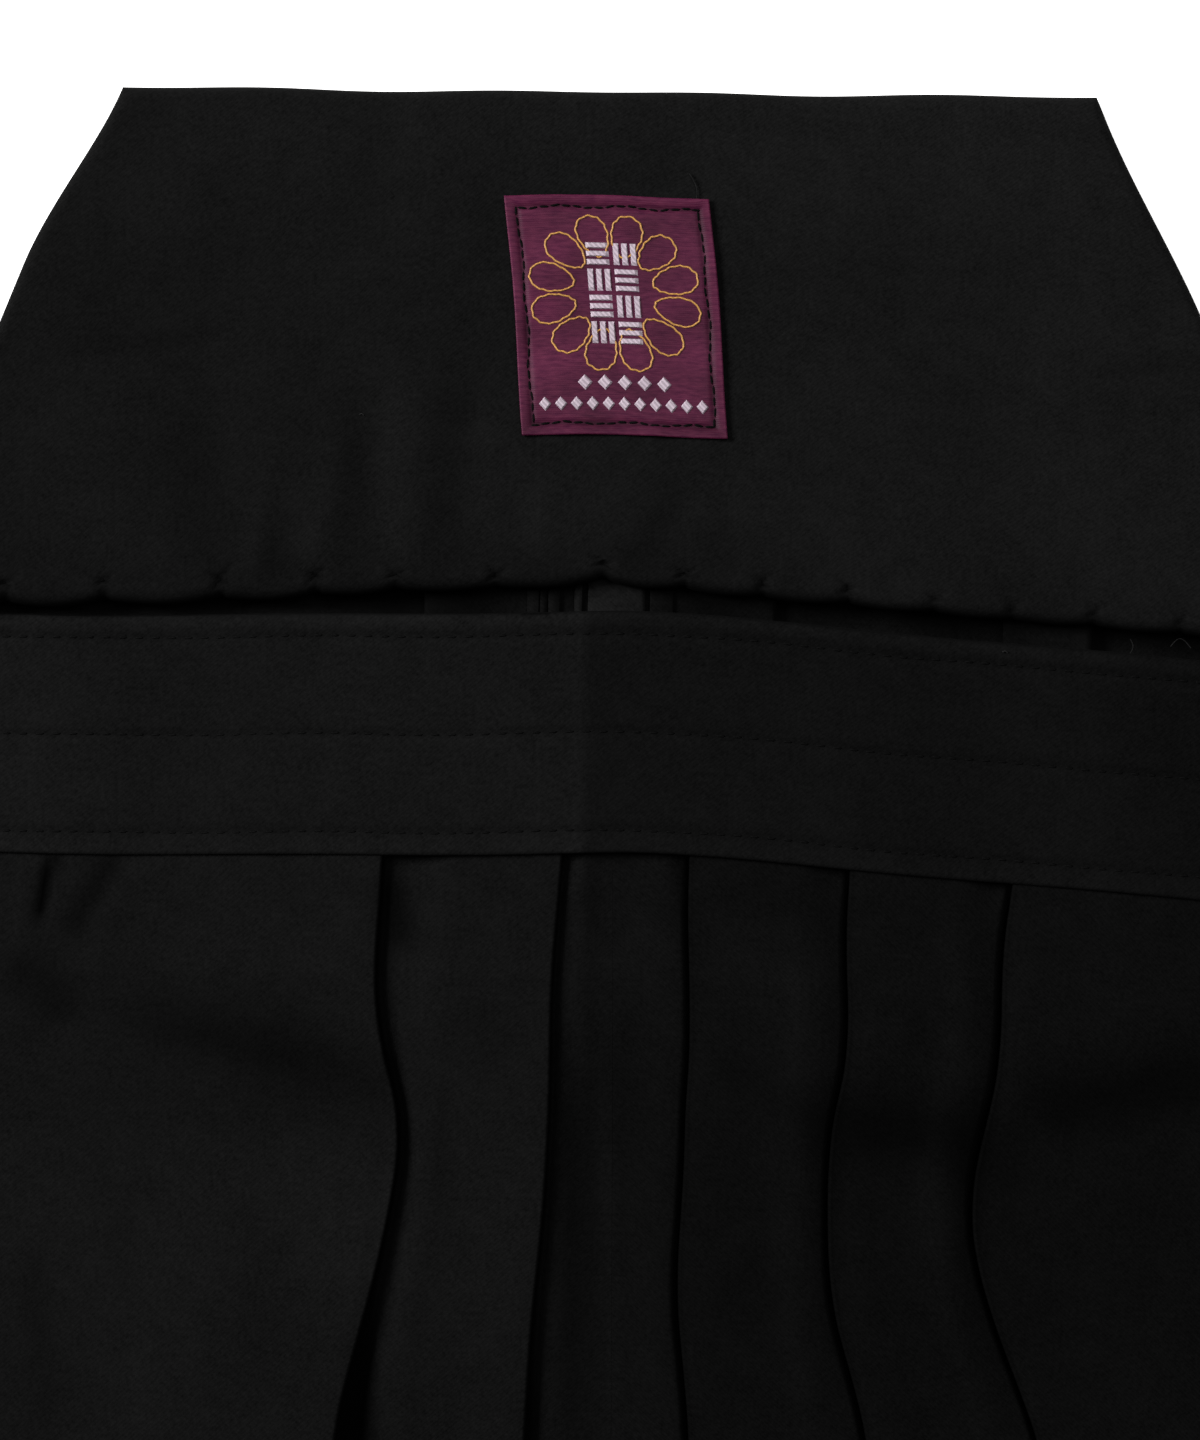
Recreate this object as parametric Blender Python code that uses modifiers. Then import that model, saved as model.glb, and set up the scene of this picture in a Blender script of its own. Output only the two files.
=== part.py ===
"""Hakama trousers laid out flat on their back, front up, with the back board drawn up past the band.

X runs across the garment, +Y towards the back board and -Y towards the hem, +Z up from the surface
it lies on. The origin is on that surface, under the middle of the front band's lower edge.
Sizes are written in millimetres; to_metres() turns them into metres where a point is placed.
"""
import math
from collections import namedtuple

import bmesh
import bpy
from mathutils import Vector

# ---- Driving dimensions, millimetres ---------------------------------------------------------
CLOTH = 1.0             # wall of one layer of cloth
AIR = 0.4               # clearance between layers that lie on each other
LAYER = CLOTH + AIR     # rise from one layer to the next
SEAM = 0.3              # clearance where two pieces are sewn edge to edge

LENGTH = 910.0          # band's lower edge to hem
CROTCH = 480.0          # band's lower edge to where the legs part
HEM_PARTING = 14.0      # gap between the legs at the hem

BAND_HEIGHT = 47.0
BAND_WALL = 1.2
BAND_HALF = 150.0       # half the band's length, without its ties
BAND_BEND = 5.0         # where the band and all that hangs from it turn downhill
BAND_SLOPE = 0.08       # how far it falls for each millimetre to the right of there

PLEAT_WAIST = 18.0      # depth of a front pleat under its edge, at the band
PLEAT_HEM = 68.0        # and at the hem
BACK_PLEAT_WAIST = 34.0
BACK_PLEAT_HEM = 118.0
BACK_MEET = 6.0         # the two back folds meet this far right of the middle

BOARD_THICK = 5.0
BOARD_TOP_Y = 151.0     # the board's top edge rests on the surface here
BOARD_LOW_Y = 53.6      # middle of its lower edge
BOARD_LOW_HALF = 141.5  # half widths of the board
BOARD_TOP_HALF = 100.0
BOARD_CORNER = 5.0      # its upper corners are drawn in this much
BOARD_TILT = 0.046      # its lower edge lies on the back pleats

LABEL_WIDTH = 40.5
LABEL_HEIGHT = 47.5
LABEL_SKEW = 3.7        # its foot is sewn on this far right of its head
LABEL_MID = (3.3, 105.6)

TIE_THICK = 2.0         # a strip folded on itself and stitched
TIE_LAYER = TIE_THICK + AIR
FRONT_TIE_WIDTH = BAND_HEIGHT
BACK_TIE_WIDTH = 35.0
TIE_EASE = 42.0         # length in which a tie comes down to the surface

# Where the five pleat edges cross each section of the front, measured down from the band.
Section = namedtuple("Section", "down a b c d e")
SECTIONS = (
    Section(-45.5, -42.4, -6.9, 17.8, 49.3, 81.9),
    Section(0.0, -42.4, -6.9, 17.8, 49.3, 81.9),
    Section(20.0, -43.2, -7.8, 17.0, 47.8, 79.3),
    Section(40.0, -41.2, -8.6, 17.4, 47.9, 77.6),
    Section(55.0, -38.7, -9.2, 16.1, 44.8, 74.2),
    Section(70.0, -40.0, -9.9, 15.0, 44.2, 72.6),
    Section(85.0, -44.0, -11.2, 14.2, 44.2, 77.2),
    Section(110.0, -49.9, -13.3, 16.8, 51.0, 86.9),
    Section(330.0, -80.0, -27.0, 27.0, 80.0, 132.0),
    Section(LENGTH, -145.0, -57.0, 50.0, 137.0, 223.0),
)
FRONT_ROWS = (-45.5, -24.0, 0.0, 20.0, 40.0, 55.0, 70.0, 85.0, 110.0, 200.0, 330.0, CROTCH, 620.0, 770.0, LENGTH)
BACK_ROWS = (-58.0, -48.0) + FRONT_ROWS[1:]

# Half widths of the garment at the side: the slanting side opening, then the side seam to the hem.
Side = namedtuple("Side", "down half")
FRONT_SIDE = (Side(-60.0, 150.0), Side(0.0, 150.0), Side(300.0, 248.0), Side(LENGTH, 320.0))
BACK_SIDE = (Side(-60.0, 139.0), Side(300.0, 252.0), Side(LENGTH, 320.0))

BLACK = (0.012, 0.012, 0.013)
PLUM = (0.07, 0.025, 0.045)


# ---- Helpers ---------------------------------------------------------------------------------
def smooth(s):
    """0 below s = 0, 1 above s = 1, and an even slope between."""
    s = min(max(s, 0.0), 1.0)
    return s * s * (3.0 - 2.0 * s)


def mix(low, high, share):
    return low + (high - low) * share


def read(table, down, column):
    """A column of a table, in straight lines between its rows."""
    for upper, lower in zip(table, table[1:]):
        if down <= lower.down:
            share = (down - upper.down) / (lower.down - upper.down)
            return mix(getattr(upper, column), getattr(lower, column), share)
    return getattr(table[-1], column)


def grow(waist, hem, down):
    """A size that widens from band to hem, slowly at first."""
    return mix(waist, hem, (max(down, 0.0) / LENGTH) ** 1.4)


def lie(across, down):
    """Y of a point of the garment: the waist bends downhill, and the hem is straight."""
    past = across - BAND_BEND
    bend = BAND_SLOPE * (past + math.hypot(past, 6.0)) / 2.0
    return -down - bend * (1.0 - max(down, 0.0) / LENGTH)


def to_metres(x, y, z):
    return Vector((x, y, z)) * 0.001


def cloth_material(name, colour, roughness):
    material = bpy.data.materials.new(name)
    material.use_nodes = True
    shader = material.node_tree.nodes["Principled BSDF"]
    shader.inputs["Base Color"].default_value = (*colour, 1.0)
    shader.inputs["Roughness"].default_value = roughness
    shader.inputs["Metallic"].default_value = 0.0
    return material


def sheet(name, rows, thickness, colour, roughness=0.85):
    """An open sheet through equal rows of points, given its wall by Solidify."""
    mesh_rows = len(rows)
    mesh_points = len(rows[0])
    shape = bmesh.new()
    bmesh.ops.create_grid(shape, x_segments=mesh_points - 1, y_segments=mesh_rows - 1, size=1.0)
    shape.verts.ensure_lookup_table()
    for index, vert in enumerate(shape.verts):
        row, point = divmod(index, mesh_points)
        vert.co = to_metres(*rows[row][point])
    mesh = bpy.data.meshes.new(name)
    shape.to_mesh(mesh)
    shape.free()
    piece = bpy.data.objects.new(name, mesh)
    garment.objects.link(piece)
    mesh.materials.append(cloth_material(name + "_cloth", colour, roughness))
    wall = piece.modifiers.new("wall", "SOLIDIFY")
    wall.thickness = thickness * 0.001
    wall.offset = 0.0
    wall.use_even_offset = True
    wall.use_quality_normals = True
    return piece


def run(start, end, steps, height):
    """Points of one layer from start to end across, each at its height."""
    places = [mix(start, end, step / steps) for step in range(steps + 1)]
    return [(place, height(place)) for place in places]


def placed(section, down):
    return [(across, lie(across, down), height) for across, height in section]


# ---- Rules that the layers share -------------------------------------------------------------
def seam_line(down):
    """The centre seams of front and back, which wander back to the middle by the crotch."""
    return 2.0 * (1.0 - smooth(down / CROTCH))


def parting(down):
    """Half the gap between the legs."""
    return mix(SEAM, HEM_PARTING, max(down - CROTCH, 0.0) / (LENGTH - CROTCH)) / 2.0


def back_depth(down):
    return grow(BACK_PLEAT_WAIST, BACK_PLEAT_HEM, down)


def rest_height(across, down):
    """Height of the front's lowest layer: over three back layers in the middle, over one at the side."""
    shoulder = back_depth(down) + grow(8.0, 28.0, down)
    fall = grow(40.0, 90.0, down)
    stacked = 1.0 - smooth((abs(across) - shoulder) / fall)
    return CLOTH / 2.0 + LAYER * (1.0 + 2.0 * stacked)


def inside_band(down):
    """The front's tops are raised one layer, over the band's inner wall."""
    return LAYER * (1.0 - smooth(down / 20.0))


# ---- Front legs: knife pleats whose edges face the middle ------------------------------------
def front_section(down, side, pleats):
    """Across one leg's front from the centre seam to the side, under and over each pleat."""
    edges = [read(SECTIONS, down, pleat) for pleat in pleats]
    depth = grow(PLEAT_WAIST, PLEAT_HEM, down)
    fall = grow(11.0, 24.0, down)

    def height(covered, lift=0.0):
        def at(across):
            level = rest_height(across, down) + inside_band(down) + lift
            for edge in covered:
                past = side * (across - edge) - depth - 2.0
                level += 2.0 * LAYER * (1.0 - smooth(past / fall))
            return level
        return at

    section = run(seam_line(down) + side * parting(down), edges[0], 3, height([]))
    for number, edge in enumerate(edges):
        hidden = edge + side * depth
        below = edges[:number]
        section += run(edge, hidden, 3, height(below))[1:]
        section += run(hidden, edge, 3, height(below, LAYER))
        over = edges[:number + 1]
        section += run(edge, hidden, 3, height(over))
        last = number + 1 == len(edges)
        goal = side * read(FRONT_SIDE, down, "half") if last else edges[number + 1]
        section += run(hidden, goal, 6 if last else 3, height(over))[1:]
    return section


def front_leg(name, side, pleats):
    rows = [placed(front_section(down, side, pleats), down) for down in FRONT_ROWS]
    sheet(name, rows, CLOTH, BLACK)


# ---- Back legs: one deep pleat each, folds meeting behind ------------------------------------
def back_section(down, side):
    """Across one leg's back: outer layer in from the side, out again inside the pleat, and in."""
    outer = side * read(BACK_SIDE, down, "half")
    deep = side * back_depth(down)
    meet = BACK_MEET * (1.0 - smooth(down / CROTCH))
    fold = meet + side * (CLOTH / 2.0 + parting(down))
    seam = seam_line(down) + side * parting(down)

    def height(level):
        def at(across):
            sewn_up = smooth((abs(across) - back_depth(0.0) - 4.0) / 30.0) * smooth((-down - 49.0) / 9.0)
            return CLOTH / 2.0 + level * LAYER + 2.0 * LAYER * sewn_up
        return at

    section = run(outer, deep, 5, height(0))
    section += run(deep, fold, 4, height(0))[1:]
    section += run(fold, deep, 4, height(1))
    section += run(deep, seam, 4, height(2))
    return section


def back_leg(name, side):
    rows = [placed(back_section(down, side), down) for down in BACK_ROWS]
    sheet(name, rows, CLOTH, BLACK)


# ---- Front band: a strip folded over the tops of the pleats ----------------------------------
def band_heights(across):
    """Heights of the band's inner and outer walls."""
    inner = rest_height(across, 0.0)
    left_end = read(SECTIONS, 0.0, "a") - PLEAT_WAIST - 2.0
    right_end = read(SECTIONS, 0.0, "e") + PLEAT_WAIST + 2.0
    beyond = max(left_end - across, across - right_end)
    stacked = 1.0 - smooth(beyond / 30.0)
    return inner, inner + LAYER * (2.0 + 2.0 * stacked)


def front_band():
    rows = []
    steps = 24
    for step in range(steps + 1):
        across = mix(-BAND_HALF, BAND_HALF, step / steps)
        inner, outer = band_heights(across)
        profile = [(0.0, outer), (-BAND_HEIGHT / 2.0, outer), (-BAND_HEIGHT, outer),
                   (-BAND_HEIGHT, inner), (-BAND_HEIGHT / 2.0, inner), (-2.0, inner)]
        rows.append([(across, lie(across, down), height) for down, height in profile])
    sheet("front_band", rows, BAND_WALL, BLACK)


# ---- Back board: stiff, padded, narrower at the top ------------------------------------------
def board_low_edge(across):
    fall = -0.03 * across if across < 0.0 else 0.085 * across
    return BOARD_LOW_Y - fall


def board_half(up, side):
    """Half width at a share of the height; the upper corner on the garment's right is drawn in more."""
    corner = BOARD_CORNER if side < 0.0 else BOARD_CORNER / 5.0
    return mix(BOARD_LOW_HALF, BOARD_TOP_HALF, up) - corner * smooth((up - 0.65) / 0.35)


def board_height(y):
    """Height of the board's middle surface, tilted onto the back pleats."""
    return BOARD_THICK / 2.0 + BOARD_TILT * (BOARD_TOP_Y - y)


def back_board():
    rows = []
    across_steps, up_steps = 14, 7
    for up_step in range(up_steps + 1):
        up = up_step / up_steps
        row = []
        for step in range(across_steps + 1):
            side = mix(-1.0, 1.0, step / across_steps)
            across = side * board_half(up, side)
            y = mix(board_low_edge(across), BOARD_TOP_Y - 0.011 * across, up)
            row.append((across, y, board_height(y)))
        rows.append(row)
    board = sheet("back_board", rows, BOARD_THICK, BLACK)
    rounding = board.modifiers.new("rounding", "BEVEL")
    rounding.width = 0.0015
    rounding.segments = 2
    rounding.limit_method = "ANGLE"
    rounding.angle_limit = math.radians(50.0)


def label():
    """A small woven patch on the board's upper face."""
    rows = []
    lift = BOARD_THICK / 2.0 + SEAM + CLOTH / 2.0
    for up_step in range(3):
        up = up_step / 2.0 - 0.5
        y = LABEL_MID[1] + up * LABEL_HEIGHT
        middle = LABEL_MID[0] - up * LABEL_SKEW
        row = [(middle + share * LABEL_WIDTH, y, board_height(y) + lift) for share in (-0.5, 0.0, 0.5)]
        rows.append(row)
    sheet("label", rows, CLOTH, PLUM, roughness=0.5)


# ---- Ties: flat strips, turned by folding them over ------------------------------------------
def tie(name, width, corners, start_height, start_slant=0.0):
    """A flat strip along corners. At each corner it folds over itself and lies one layer higher."""
    points = [Vector(corner) for corner in corners]
    ways = [(end - start).normalized() for start, end in zip(points, points[1:])]
    flat = TIE_THICK / 2.0
    hand = 1.0
    rows = []

    def fold_line(before, after):
        """Direction of the fold that turns one run into the next, stretched to reach both edges."""
        normal = Vector((-before.y, before.x))
        along = before + after
        along = along.normalized() if along.length > 1e-3 else normal
        return along / along.dot(normal)

    def row(centre, reach, height):
        half = width / 2.0
        rows.append([(*(centre - reach * half), height), (*(centre + reach * half), height)])

    for number, way in enumerate(ways):
        normal = Vector((-way.y, way.x)) * hand
        start, end = points[number], points[number + 1]
        doubled = number == 2
        if number == 0:
            for step in range(5):
                share = step / 4.0
                slanted = normal - way * start_slant * normal.y * (1.0 - share)
                row(start + way * TIE_EASE * share, slanted, mix(start_height, flat, smooth(share)))
        else:
            turned = fold_line(ways[number - 1], way) * -hand
            row(start, turned, flat + TIE_LAYER)
            row(start + way * (width / 2.0 + 4.0), normal, flat + TIE_LAYER)
            if not doubled:
                row(start + way * (width / 2.0 + 18.0), normal, flat + TIE_LAYER / 2.0)
                row(start + way * (width / 2.0 + 32.0), normal, flat)
        if number + 1 < len(ways):
            row(end, fold_line(way, ways[number + 1]) * hand, flat)
            hand = -hand
        else:
            row(end, normal, flat + TIE_LAYER if doubled else flat)
    sheet(name, rows, TIE_THICK, BLACK)


def ties():
    ease = (band_heights(BAND_HALF)[0] + band_heights(BAND_HALF)[1]) / 2.0
    middle = -BAND_HEIGHT / 2.0
    for side, name in ((-1.0, "right"), (1.0, "left")):
        start_x = side * (BAND_HALF + SEAM)
        start_y = lie(start_x, middle)
        turn_x = side * 386.0
        turn_y = lie(turn_x, middle)
        corners = [(start_x, start_y), (turn_x, turn_y), (turn_x, turn_y - 790.0),
                   (turn_x - side * 8.0, turn_y - 790.0 + 620.0)]
        tie("front_tie_" + name, FRONT_TIE_WIDTH, corners, ease, BAND_SLOPE if side > 0.0 else 0.0)

        low = BOARD_LOW_HALF * side
        share = (BACK_TIE_WIDTH / 2.0 + 2.0) / (BOARD_TOP_Y - board_low_edge(low))
        start_x = side * (board_half(share, side) + 2.0 * SEAM + 0.4)
        start_y = board_low_edge(low) + BACK_TIE_WIDTH / 2.0 + 2.0
        turn_x = side * 440.0
        turn_y = start_y - (0.0 if side < 0.0 else 14.0)
        corners = [(start_x, start_y), (turn_x, turn_y), (turn_x, turn_y - 430.0)]
        slant = (BOARD_LOW_HALF - BOARD_TOP_HALF) / (BOARD_TOP_Y - board_low_edge(low))
        tie("back_tie_" + name, BACK_TIE_WIDTH, corners, board_height(start_y), slant)


# ---- The garment -----------------------------------------------------------------------------
for old in list(bpy.data.objects):
    bpy.data.objects.remove(old, do_unlink=True)

garment = bpy.data.collections.new("hakama_trousers")
bpy.context.scene.collection.children.link(garment)

back_leg("back_right_leg", -1.0)
back_leg("back_left_leg", 1.0)
front_leg("front_right_leg", -1.0, "ba")
front_leg("front_left_leg", 1.0, "cde")
front_band()
back_board()
label()
ties()
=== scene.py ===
# %% [markdown]
# # Hakama trousers laid out flat
# A hakama is a pair of very wide pleated trousers. This one lies on its back with its front up, and its
# stiff back board is drawn up past the front band. The model that comes first is the plain construction:
# folded sheets at their real size. Each sheet is then replaced by finer cloth with the same folds.
# %% The construction
import math

import bmesh
import bpy
import numpy as np
from mathutils import Matrix, Vector


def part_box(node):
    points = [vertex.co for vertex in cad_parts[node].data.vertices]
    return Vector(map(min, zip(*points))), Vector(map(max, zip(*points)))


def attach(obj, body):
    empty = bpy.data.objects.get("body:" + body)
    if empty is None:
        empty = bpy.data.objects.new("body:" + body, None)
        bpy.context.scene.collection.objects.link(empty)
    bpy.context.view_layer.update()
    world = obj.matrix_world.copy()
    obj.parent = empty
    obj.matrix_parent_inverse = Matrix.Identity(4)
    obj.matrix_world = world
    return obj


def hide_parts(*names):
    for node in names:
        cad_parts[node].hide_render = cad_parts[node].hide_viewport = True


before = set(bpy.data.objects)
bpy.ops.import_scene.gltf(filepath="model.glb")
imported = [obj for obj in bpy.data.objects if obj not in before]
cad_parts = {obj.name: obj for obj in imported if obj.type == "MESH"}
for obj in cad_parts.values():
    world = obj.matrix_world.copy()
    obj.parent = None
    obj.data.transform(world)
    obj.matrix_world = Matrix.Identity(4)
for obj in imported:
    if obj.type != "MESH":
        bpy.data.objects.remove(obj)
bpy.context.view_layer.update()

for node in sorted(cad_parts):
    low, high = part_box(node)
    print(node, [round(size * 1000.0, 1) for size in high - low], "mm")

# %% [markdown]
# ## Sizes
# A tailor works in millimetres, so the sizes here are in millimetres and each point becomes metres where it
# is placed. DOWN lists sections across the front, by how far down from the band they lie, and EDGES says where
# each of the five pleat edges (a and b on one side, c, d and e on the other) crosses them.
# %% Sizes
LENGTH, CROTCH, HEM_PARTING = 910.0, 480.0, 14.0
LAYER, REST = 1.4, 0.5          # rise from one layer of cloth to the next; height of the lowest
BAND_HEIGHT, BAND_HALF = 47.0, 150.0
BAND_BEND, BAND_SLOPE = 5.0, 0.08
PLEAT = (18.0, 68.0)            # depth of a front pleat at the waist and at the hem
BACK_PLEAT = (34.0, 118.0)
CLOTH_WALL = 0.5                # real thickness of the twill

DOWN = (-45.5, 0.0, 10.0, 20.0, 30.0, 40.0, 50.0, 60.0, 70.0, 80.0, 90.0, 100.0, 110.0, 330.0, LENGTH)
# From 0 to 110 mm down, a tracing program gave these numbers, and they were smoothed a little. The
# first section and the last two are set one by one.
EDGES = {
    "a": (-42.4, -42.9, -43.5, -44.4, -44.4, -42.9, -40.1, -39.8, -41.5, -43.6, -46.2, -49.0, -51.6, -80.0,
          -145.0),
    "b": (-6.9, -7.5, -8.4, -9.3, -9.9, -10.0, -10.2, -10.7, -11.3, -12.3, -13.4, -14.2, -14.8, -27.0,
          -57.0),
    "c": (17.8, 17.8, 17.5, 17.7, 17.9, 17.8, 17.0, 16.8, 16.2, 15.5, 15.5, 16.5, 17.4, 27.0, 50.0),
    "d": (49.3, 49.5, 48.8, 48.8, 49.2, 48.5, 46.1, 45.0, 44.9, 45.2, 46.6, 49.6, 52.2, 80.0, 137.0),
    "e": (81.9, 82.0, 80.4, 79.7, 79.6, 78.6, 76.3, 73.9, 73.4, 75.4, 78.7, 82.6, 86.4, 132.0, 223.0),
}
# How wide each pleat gapes in front of its edge, and how high that edge stands up, at sections down the leg.
# Down to 115 mm, GAPE follows the same program's widths, most of them narrowed; LIFT is given.
GAPE_DOWN = (0.0, 10.0, 20.0, 30.0, 50.0, 70.0, 90.0, 100.0, 115.0, LENGTH)
GAPE = {
    "a": (1.2, 2.2, 2.4, 1.6, 2.2, 2.0, 3.4, 6.0, 11.0, 4.0),
    "b": (1.0, 1.3, 1.4, 1.7, 1.5, 1.9, 2.6, 3.0, 4.0, 3.0),
    "c": (1.0, 1.4, 1.4, 1.3, 1.2, 1.3, 1.8, 1.7, 1.7, 1.5),
    "d": (1.1, 1.2, 1.6, 1.6, 1.3, 1.2, 1.9, 1.9, 1.3, 1.5),
    "e": (1.1, 1.6, 1.6, 1.5, 1.9, 1.5, 1.2, 1.1, 0.9, 1.5),
}
LIFT_DOWN = (0.0, 50.0, 115.0, LENGTH)
LIFT = {
    "a": (0.3, 1.6, 3.2, 2.0),
    "b": (0.3, 1.2, 1.6, 2.0),
    "c": (0.2, 1.0, 1.4, 1.6),
    "d": (0.2, 1.4, 1.8, 1.6),
    "e": (0.2, 1.6, 2.2, 1.6),
}
FRONT_SIDE = ((-60.0, 0.0, 300.0, LENGTH), (150.0, 150.0, 248.0, 320.0))
BACK_SIDE = ((-60.0, 300.0, LENGTH), (139.0, 252.0, 320.0))
print(len(EDGES), "front pleats,", len(DOWN), "sections")

# %% [markdown]
# ## Rules the layers share
# Cloth that lies on cloth takes its form, so every layer asks the same few functions how high it lies. They
# work on whole arrays of points at once, which keeps a mesh of forty thousand points quick to place.
# %% Rules the layers share
def smooth(s):
    """0 below s = 0, 1 above s = 1, with an even slope between."""
    s = np.clip(s, 0.0, 1.0)
    return s * s * (3.0 - 2.0 * s)


FINE = np.arange(-60.0, LENGTH + 1.0)


def flow(xs, ys, down, soften=9.0):
    """A column of a table as one soft line: straight between its rows, then rounded off."""
    line = np.interp(FINE, xs, ys)
    reach = np.arange(-3.0 * soften, 3.0 * soften + 1.0)
    weight = np.exp(-0.5 * (reach / soften) ** 2)
    padded = np.pad(line, len(reach) // 2, mode="reflect", reflect_type="odd")
    return np.interp(down, FINE, np.convolve(padded, weight / weight.sum(), mode="valid"))


def grow(sizes, down):
    """A size that widens from waist to hem, slowly at first."""
    return sizes[0] + (sizes[1] - sizes[0]) * (np.maximum(down, 0.0) / LENGTH) ** 1.4


def bend(across, down):
    """How far the waist's downhill turn has lowered a point; the hem is straight."""
    past = across - BAND_BEND
    turned = BAND_SLOPE * (past + np.hypot(past, 6.0)) / 2.0
    return turned * (1.0 - np.maximum(down, 0.0) / LENGTH)


def seam_line(down):
    return 2.0 * (1.0 - smooth(down / CROTCH))


def parting(down):
    """Half the gap between the legs. The seams above are closed."""
    return HEM_PARTING * np.maximum(down - CROTCH, 0.0) / (LENGTH - CROTCH) / 2.0


def rest_height(across, down):
    """Height of the front's lowest layer: over three back layers in the middle, over one at the side."""
    shoulder = grow(BACK_PLEAT, down) + grow((8.0, 28.0), down)
    stacked = 1.0 - smooth((np.abs(across) - shoulder) / grow((40.0, 90.0), down))
    return REST + LAYER * (1.0 + 2.0 * stacked)


# %% [markdown]
# ## Listed creases
# Cloth that has been folded and opened again keeps soft troughs and ridges. Each is written down as a short
# line with a width and a depth in millimetres (a ridge is negative), and fades at both ends. They could
# also come from a noise texture, but then none would lie where the real ones do. The last number is painted
# shade: how much darker the cloth is painted along the line, and where it is negative, a painted highlight.
# %% Listed creases
CREASES = (
    # from x, y      to x, y      width  depth  painted shade
    (-100.0, -30.0, -50.0, -40.0, 8.5, 0.6, 0.16),
    (-92.0, -34.5, -38.0, -45.5, 6.0, 0.5, 0.22),
    (-40.0, -38.0, -14.0, -36.0, 8.0, 0.3, 0.13),
    (-104.0, -51.0, -20.0, -53.0, 7.5, 0.3, 0.10),
    (-117.0, -20.0, -104.0, -34.0, 6.0, 0.5, 0.30),
    (-107.8, 1.5, -112.8, -15.0, 1.2, 1.8, 0.78),
    (-95.0, 2.0, -106.0, -18.0, 2.8, 1.2, 0.34),
    (-91.5, 1.0, -100.0, -14.0, 1.9, -0.8, -0.14),
    (-95.0, -70.0, -93.0, -88.0, 3.0, 0.4, 0.10),
    (-112.0, -78.0, -109.0, -116.0, 3.0, 0.4, 0.12),
    (-90.0, -98.0, -88.0, -118.0, 4.0, -0.4, -0.05),
    (-60.0, -56.0, -50.0, -92.0, 9.0, -0.5, -0.06),
    (-41.0, -4.0, -38.5, -20.0, 3.4, 0.5, 0.36),
    (-33.0, -24.0, -20.0, -62.0, 6.0, -0.4, -0.05),
    (-5.0, -38.0, -5.5, -116.0, 2.6, 0.5, 0.11),
    (1.5, -44.0, 4.0, -120.0, 2.2, -0.4, -0.10),
    (9.0, -30.0, 6.0, -62.0, 4.0, 0.3, 0.04),
    (24.0, -41.0, 46.0, -55.0, 5.0, 0.7, 0.08),
    (40.0, -53.0, 82.0, -58.0, 7.0, 0.8, 0.23),
    (84.0, -52.0, 126.0, -44.0, 7.5, 0.9, 0.27),
    (70.0, -64.0, 86.0, -66.0, 5.0, 0.3, 0.08),
    (24.0, -16.0, 45.0, -32.0, 8.0, -0.4, -0.10),
    (26.0, -8.0, 44.0, -12.0, 5.0, 0.3, 0.07),
    (52.0, -34.0, 62.0, -36.0, 7.0, -0.4, -0.05),
    (26.0, -84.0, 38.0, -92.0, 7.0, 0.4, 0.05),
    (60.0, -92.0, 66.0, -112.0, 6.0, -0.3, -0.03),
    (90.0, -84.0, 112.0, -92.0, 10.0, 0.5, 0.03),
    (-140.0, -150.0, -60.0, -180.0, 16.0, 1.2, 0.15),
    (60.0, -160.0, 150.0, -190.0, 16.0, 1.2, 0.08),
    (-190.0, -250.0, -120.0, -330.0, 18.0, 1.2, 0.10),
    (120.0, -280.0, 210.0, -300.0, 18.0, -1.0, -0.05),
    (-230.0, -430.0, -90.0, -455.0, 22.0, 1.4, 0.12),
    (90.0, -440.0, 250.0, -470.0, 22.0, 1.4, 0.08),
    (-210.0, -600.0, -190.0, -760.0, 18.0, -1.1, 0.0),
    (170.0, -620.0, 185.0, -800.0, 18.0, -1.1, 0.0),
    (-270.0, -700.0, -80.0, -690.0, 26.0, 1.2, 0.10),
    (70.0, -700.0, 290.0, -715.0, 26.0, 1.2, 0.08),
)


def creased(x, y, creases, column=0):
    """What a table of creases takes away from each point: height (column 0) or painted shade (column 1)."""
    height = np.zeros_like(x)
    for x0, y0, x1, y1, width, *amounts in creases:
        depth = amounts[column]
        run = math.hypot(x1 - x0, y1 - y0)
        ux, uy = (x1 - x0) / run, (y1 - y0) / run
        along = (x - x0) * ux + (y - y0) * uy
        aside = (x - x0) * -uy + (y - y0) * ux
        fade = smooth(along / run * 2.5 + 0.35) * smooth((1.0 - along / run) * 2.5 + 0.35)
        height -= depth * fade * np.exp(-((aside / width) ** 2))
    return height


def rumple(x, y, scale, size):
    """A slow unevenness with no repeat that shows: a few long waves that cross."""
    waves = ((1.0, 0.31, 0.4), (-0.57, 0.92, 1.9), (0.23, -1.37, 4.1), (1.61, 1.13, 2.7), (-1.9, 0.66, 5.2))
    total = sum(np.sin((a * x + b * y) / scale + c) for a, b, c in waves)
    return size * total / len(waves)


print(len(CREASES), "creases laid by hand")

# %% [markdown]
# ## A helper for nodes and colours
# Every material below adds its nodes with one small function. Colours are written as the sRGB hex values that
# a swatch card gives, and turned linear by one function, because Blender's shaders work in linear light.
# %% A helper for nodes and colours
def linear(hex_colour):
    """An sRGB hex colour as linear RGBA."""
    parts = [int(hex_colour[i:i + 2], 16) / 255.0 for i in (1, 3, 5)]
    return tuple(p / 12.92 if p <= 0.04045 else ((p + 0.055) / 1.055) ** 2.4 for p in parts) + (1.0,)


def add(tree, kind, inputs=None, **settings):
    """Adds a node. Each input is a plain value or another node's output."""
    node = tree.nodes.new(kind)
    for name, value in settings.items():
        setattr(node, name, value)
    for socket, value in (inputs or {}).items():
        if isinstance(value, bpy.types.NodeSocket):
            tree.links.new(value, node.inputs[socket])
        else:
            node.inputs[socket].default_value = value
    return node


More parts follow.
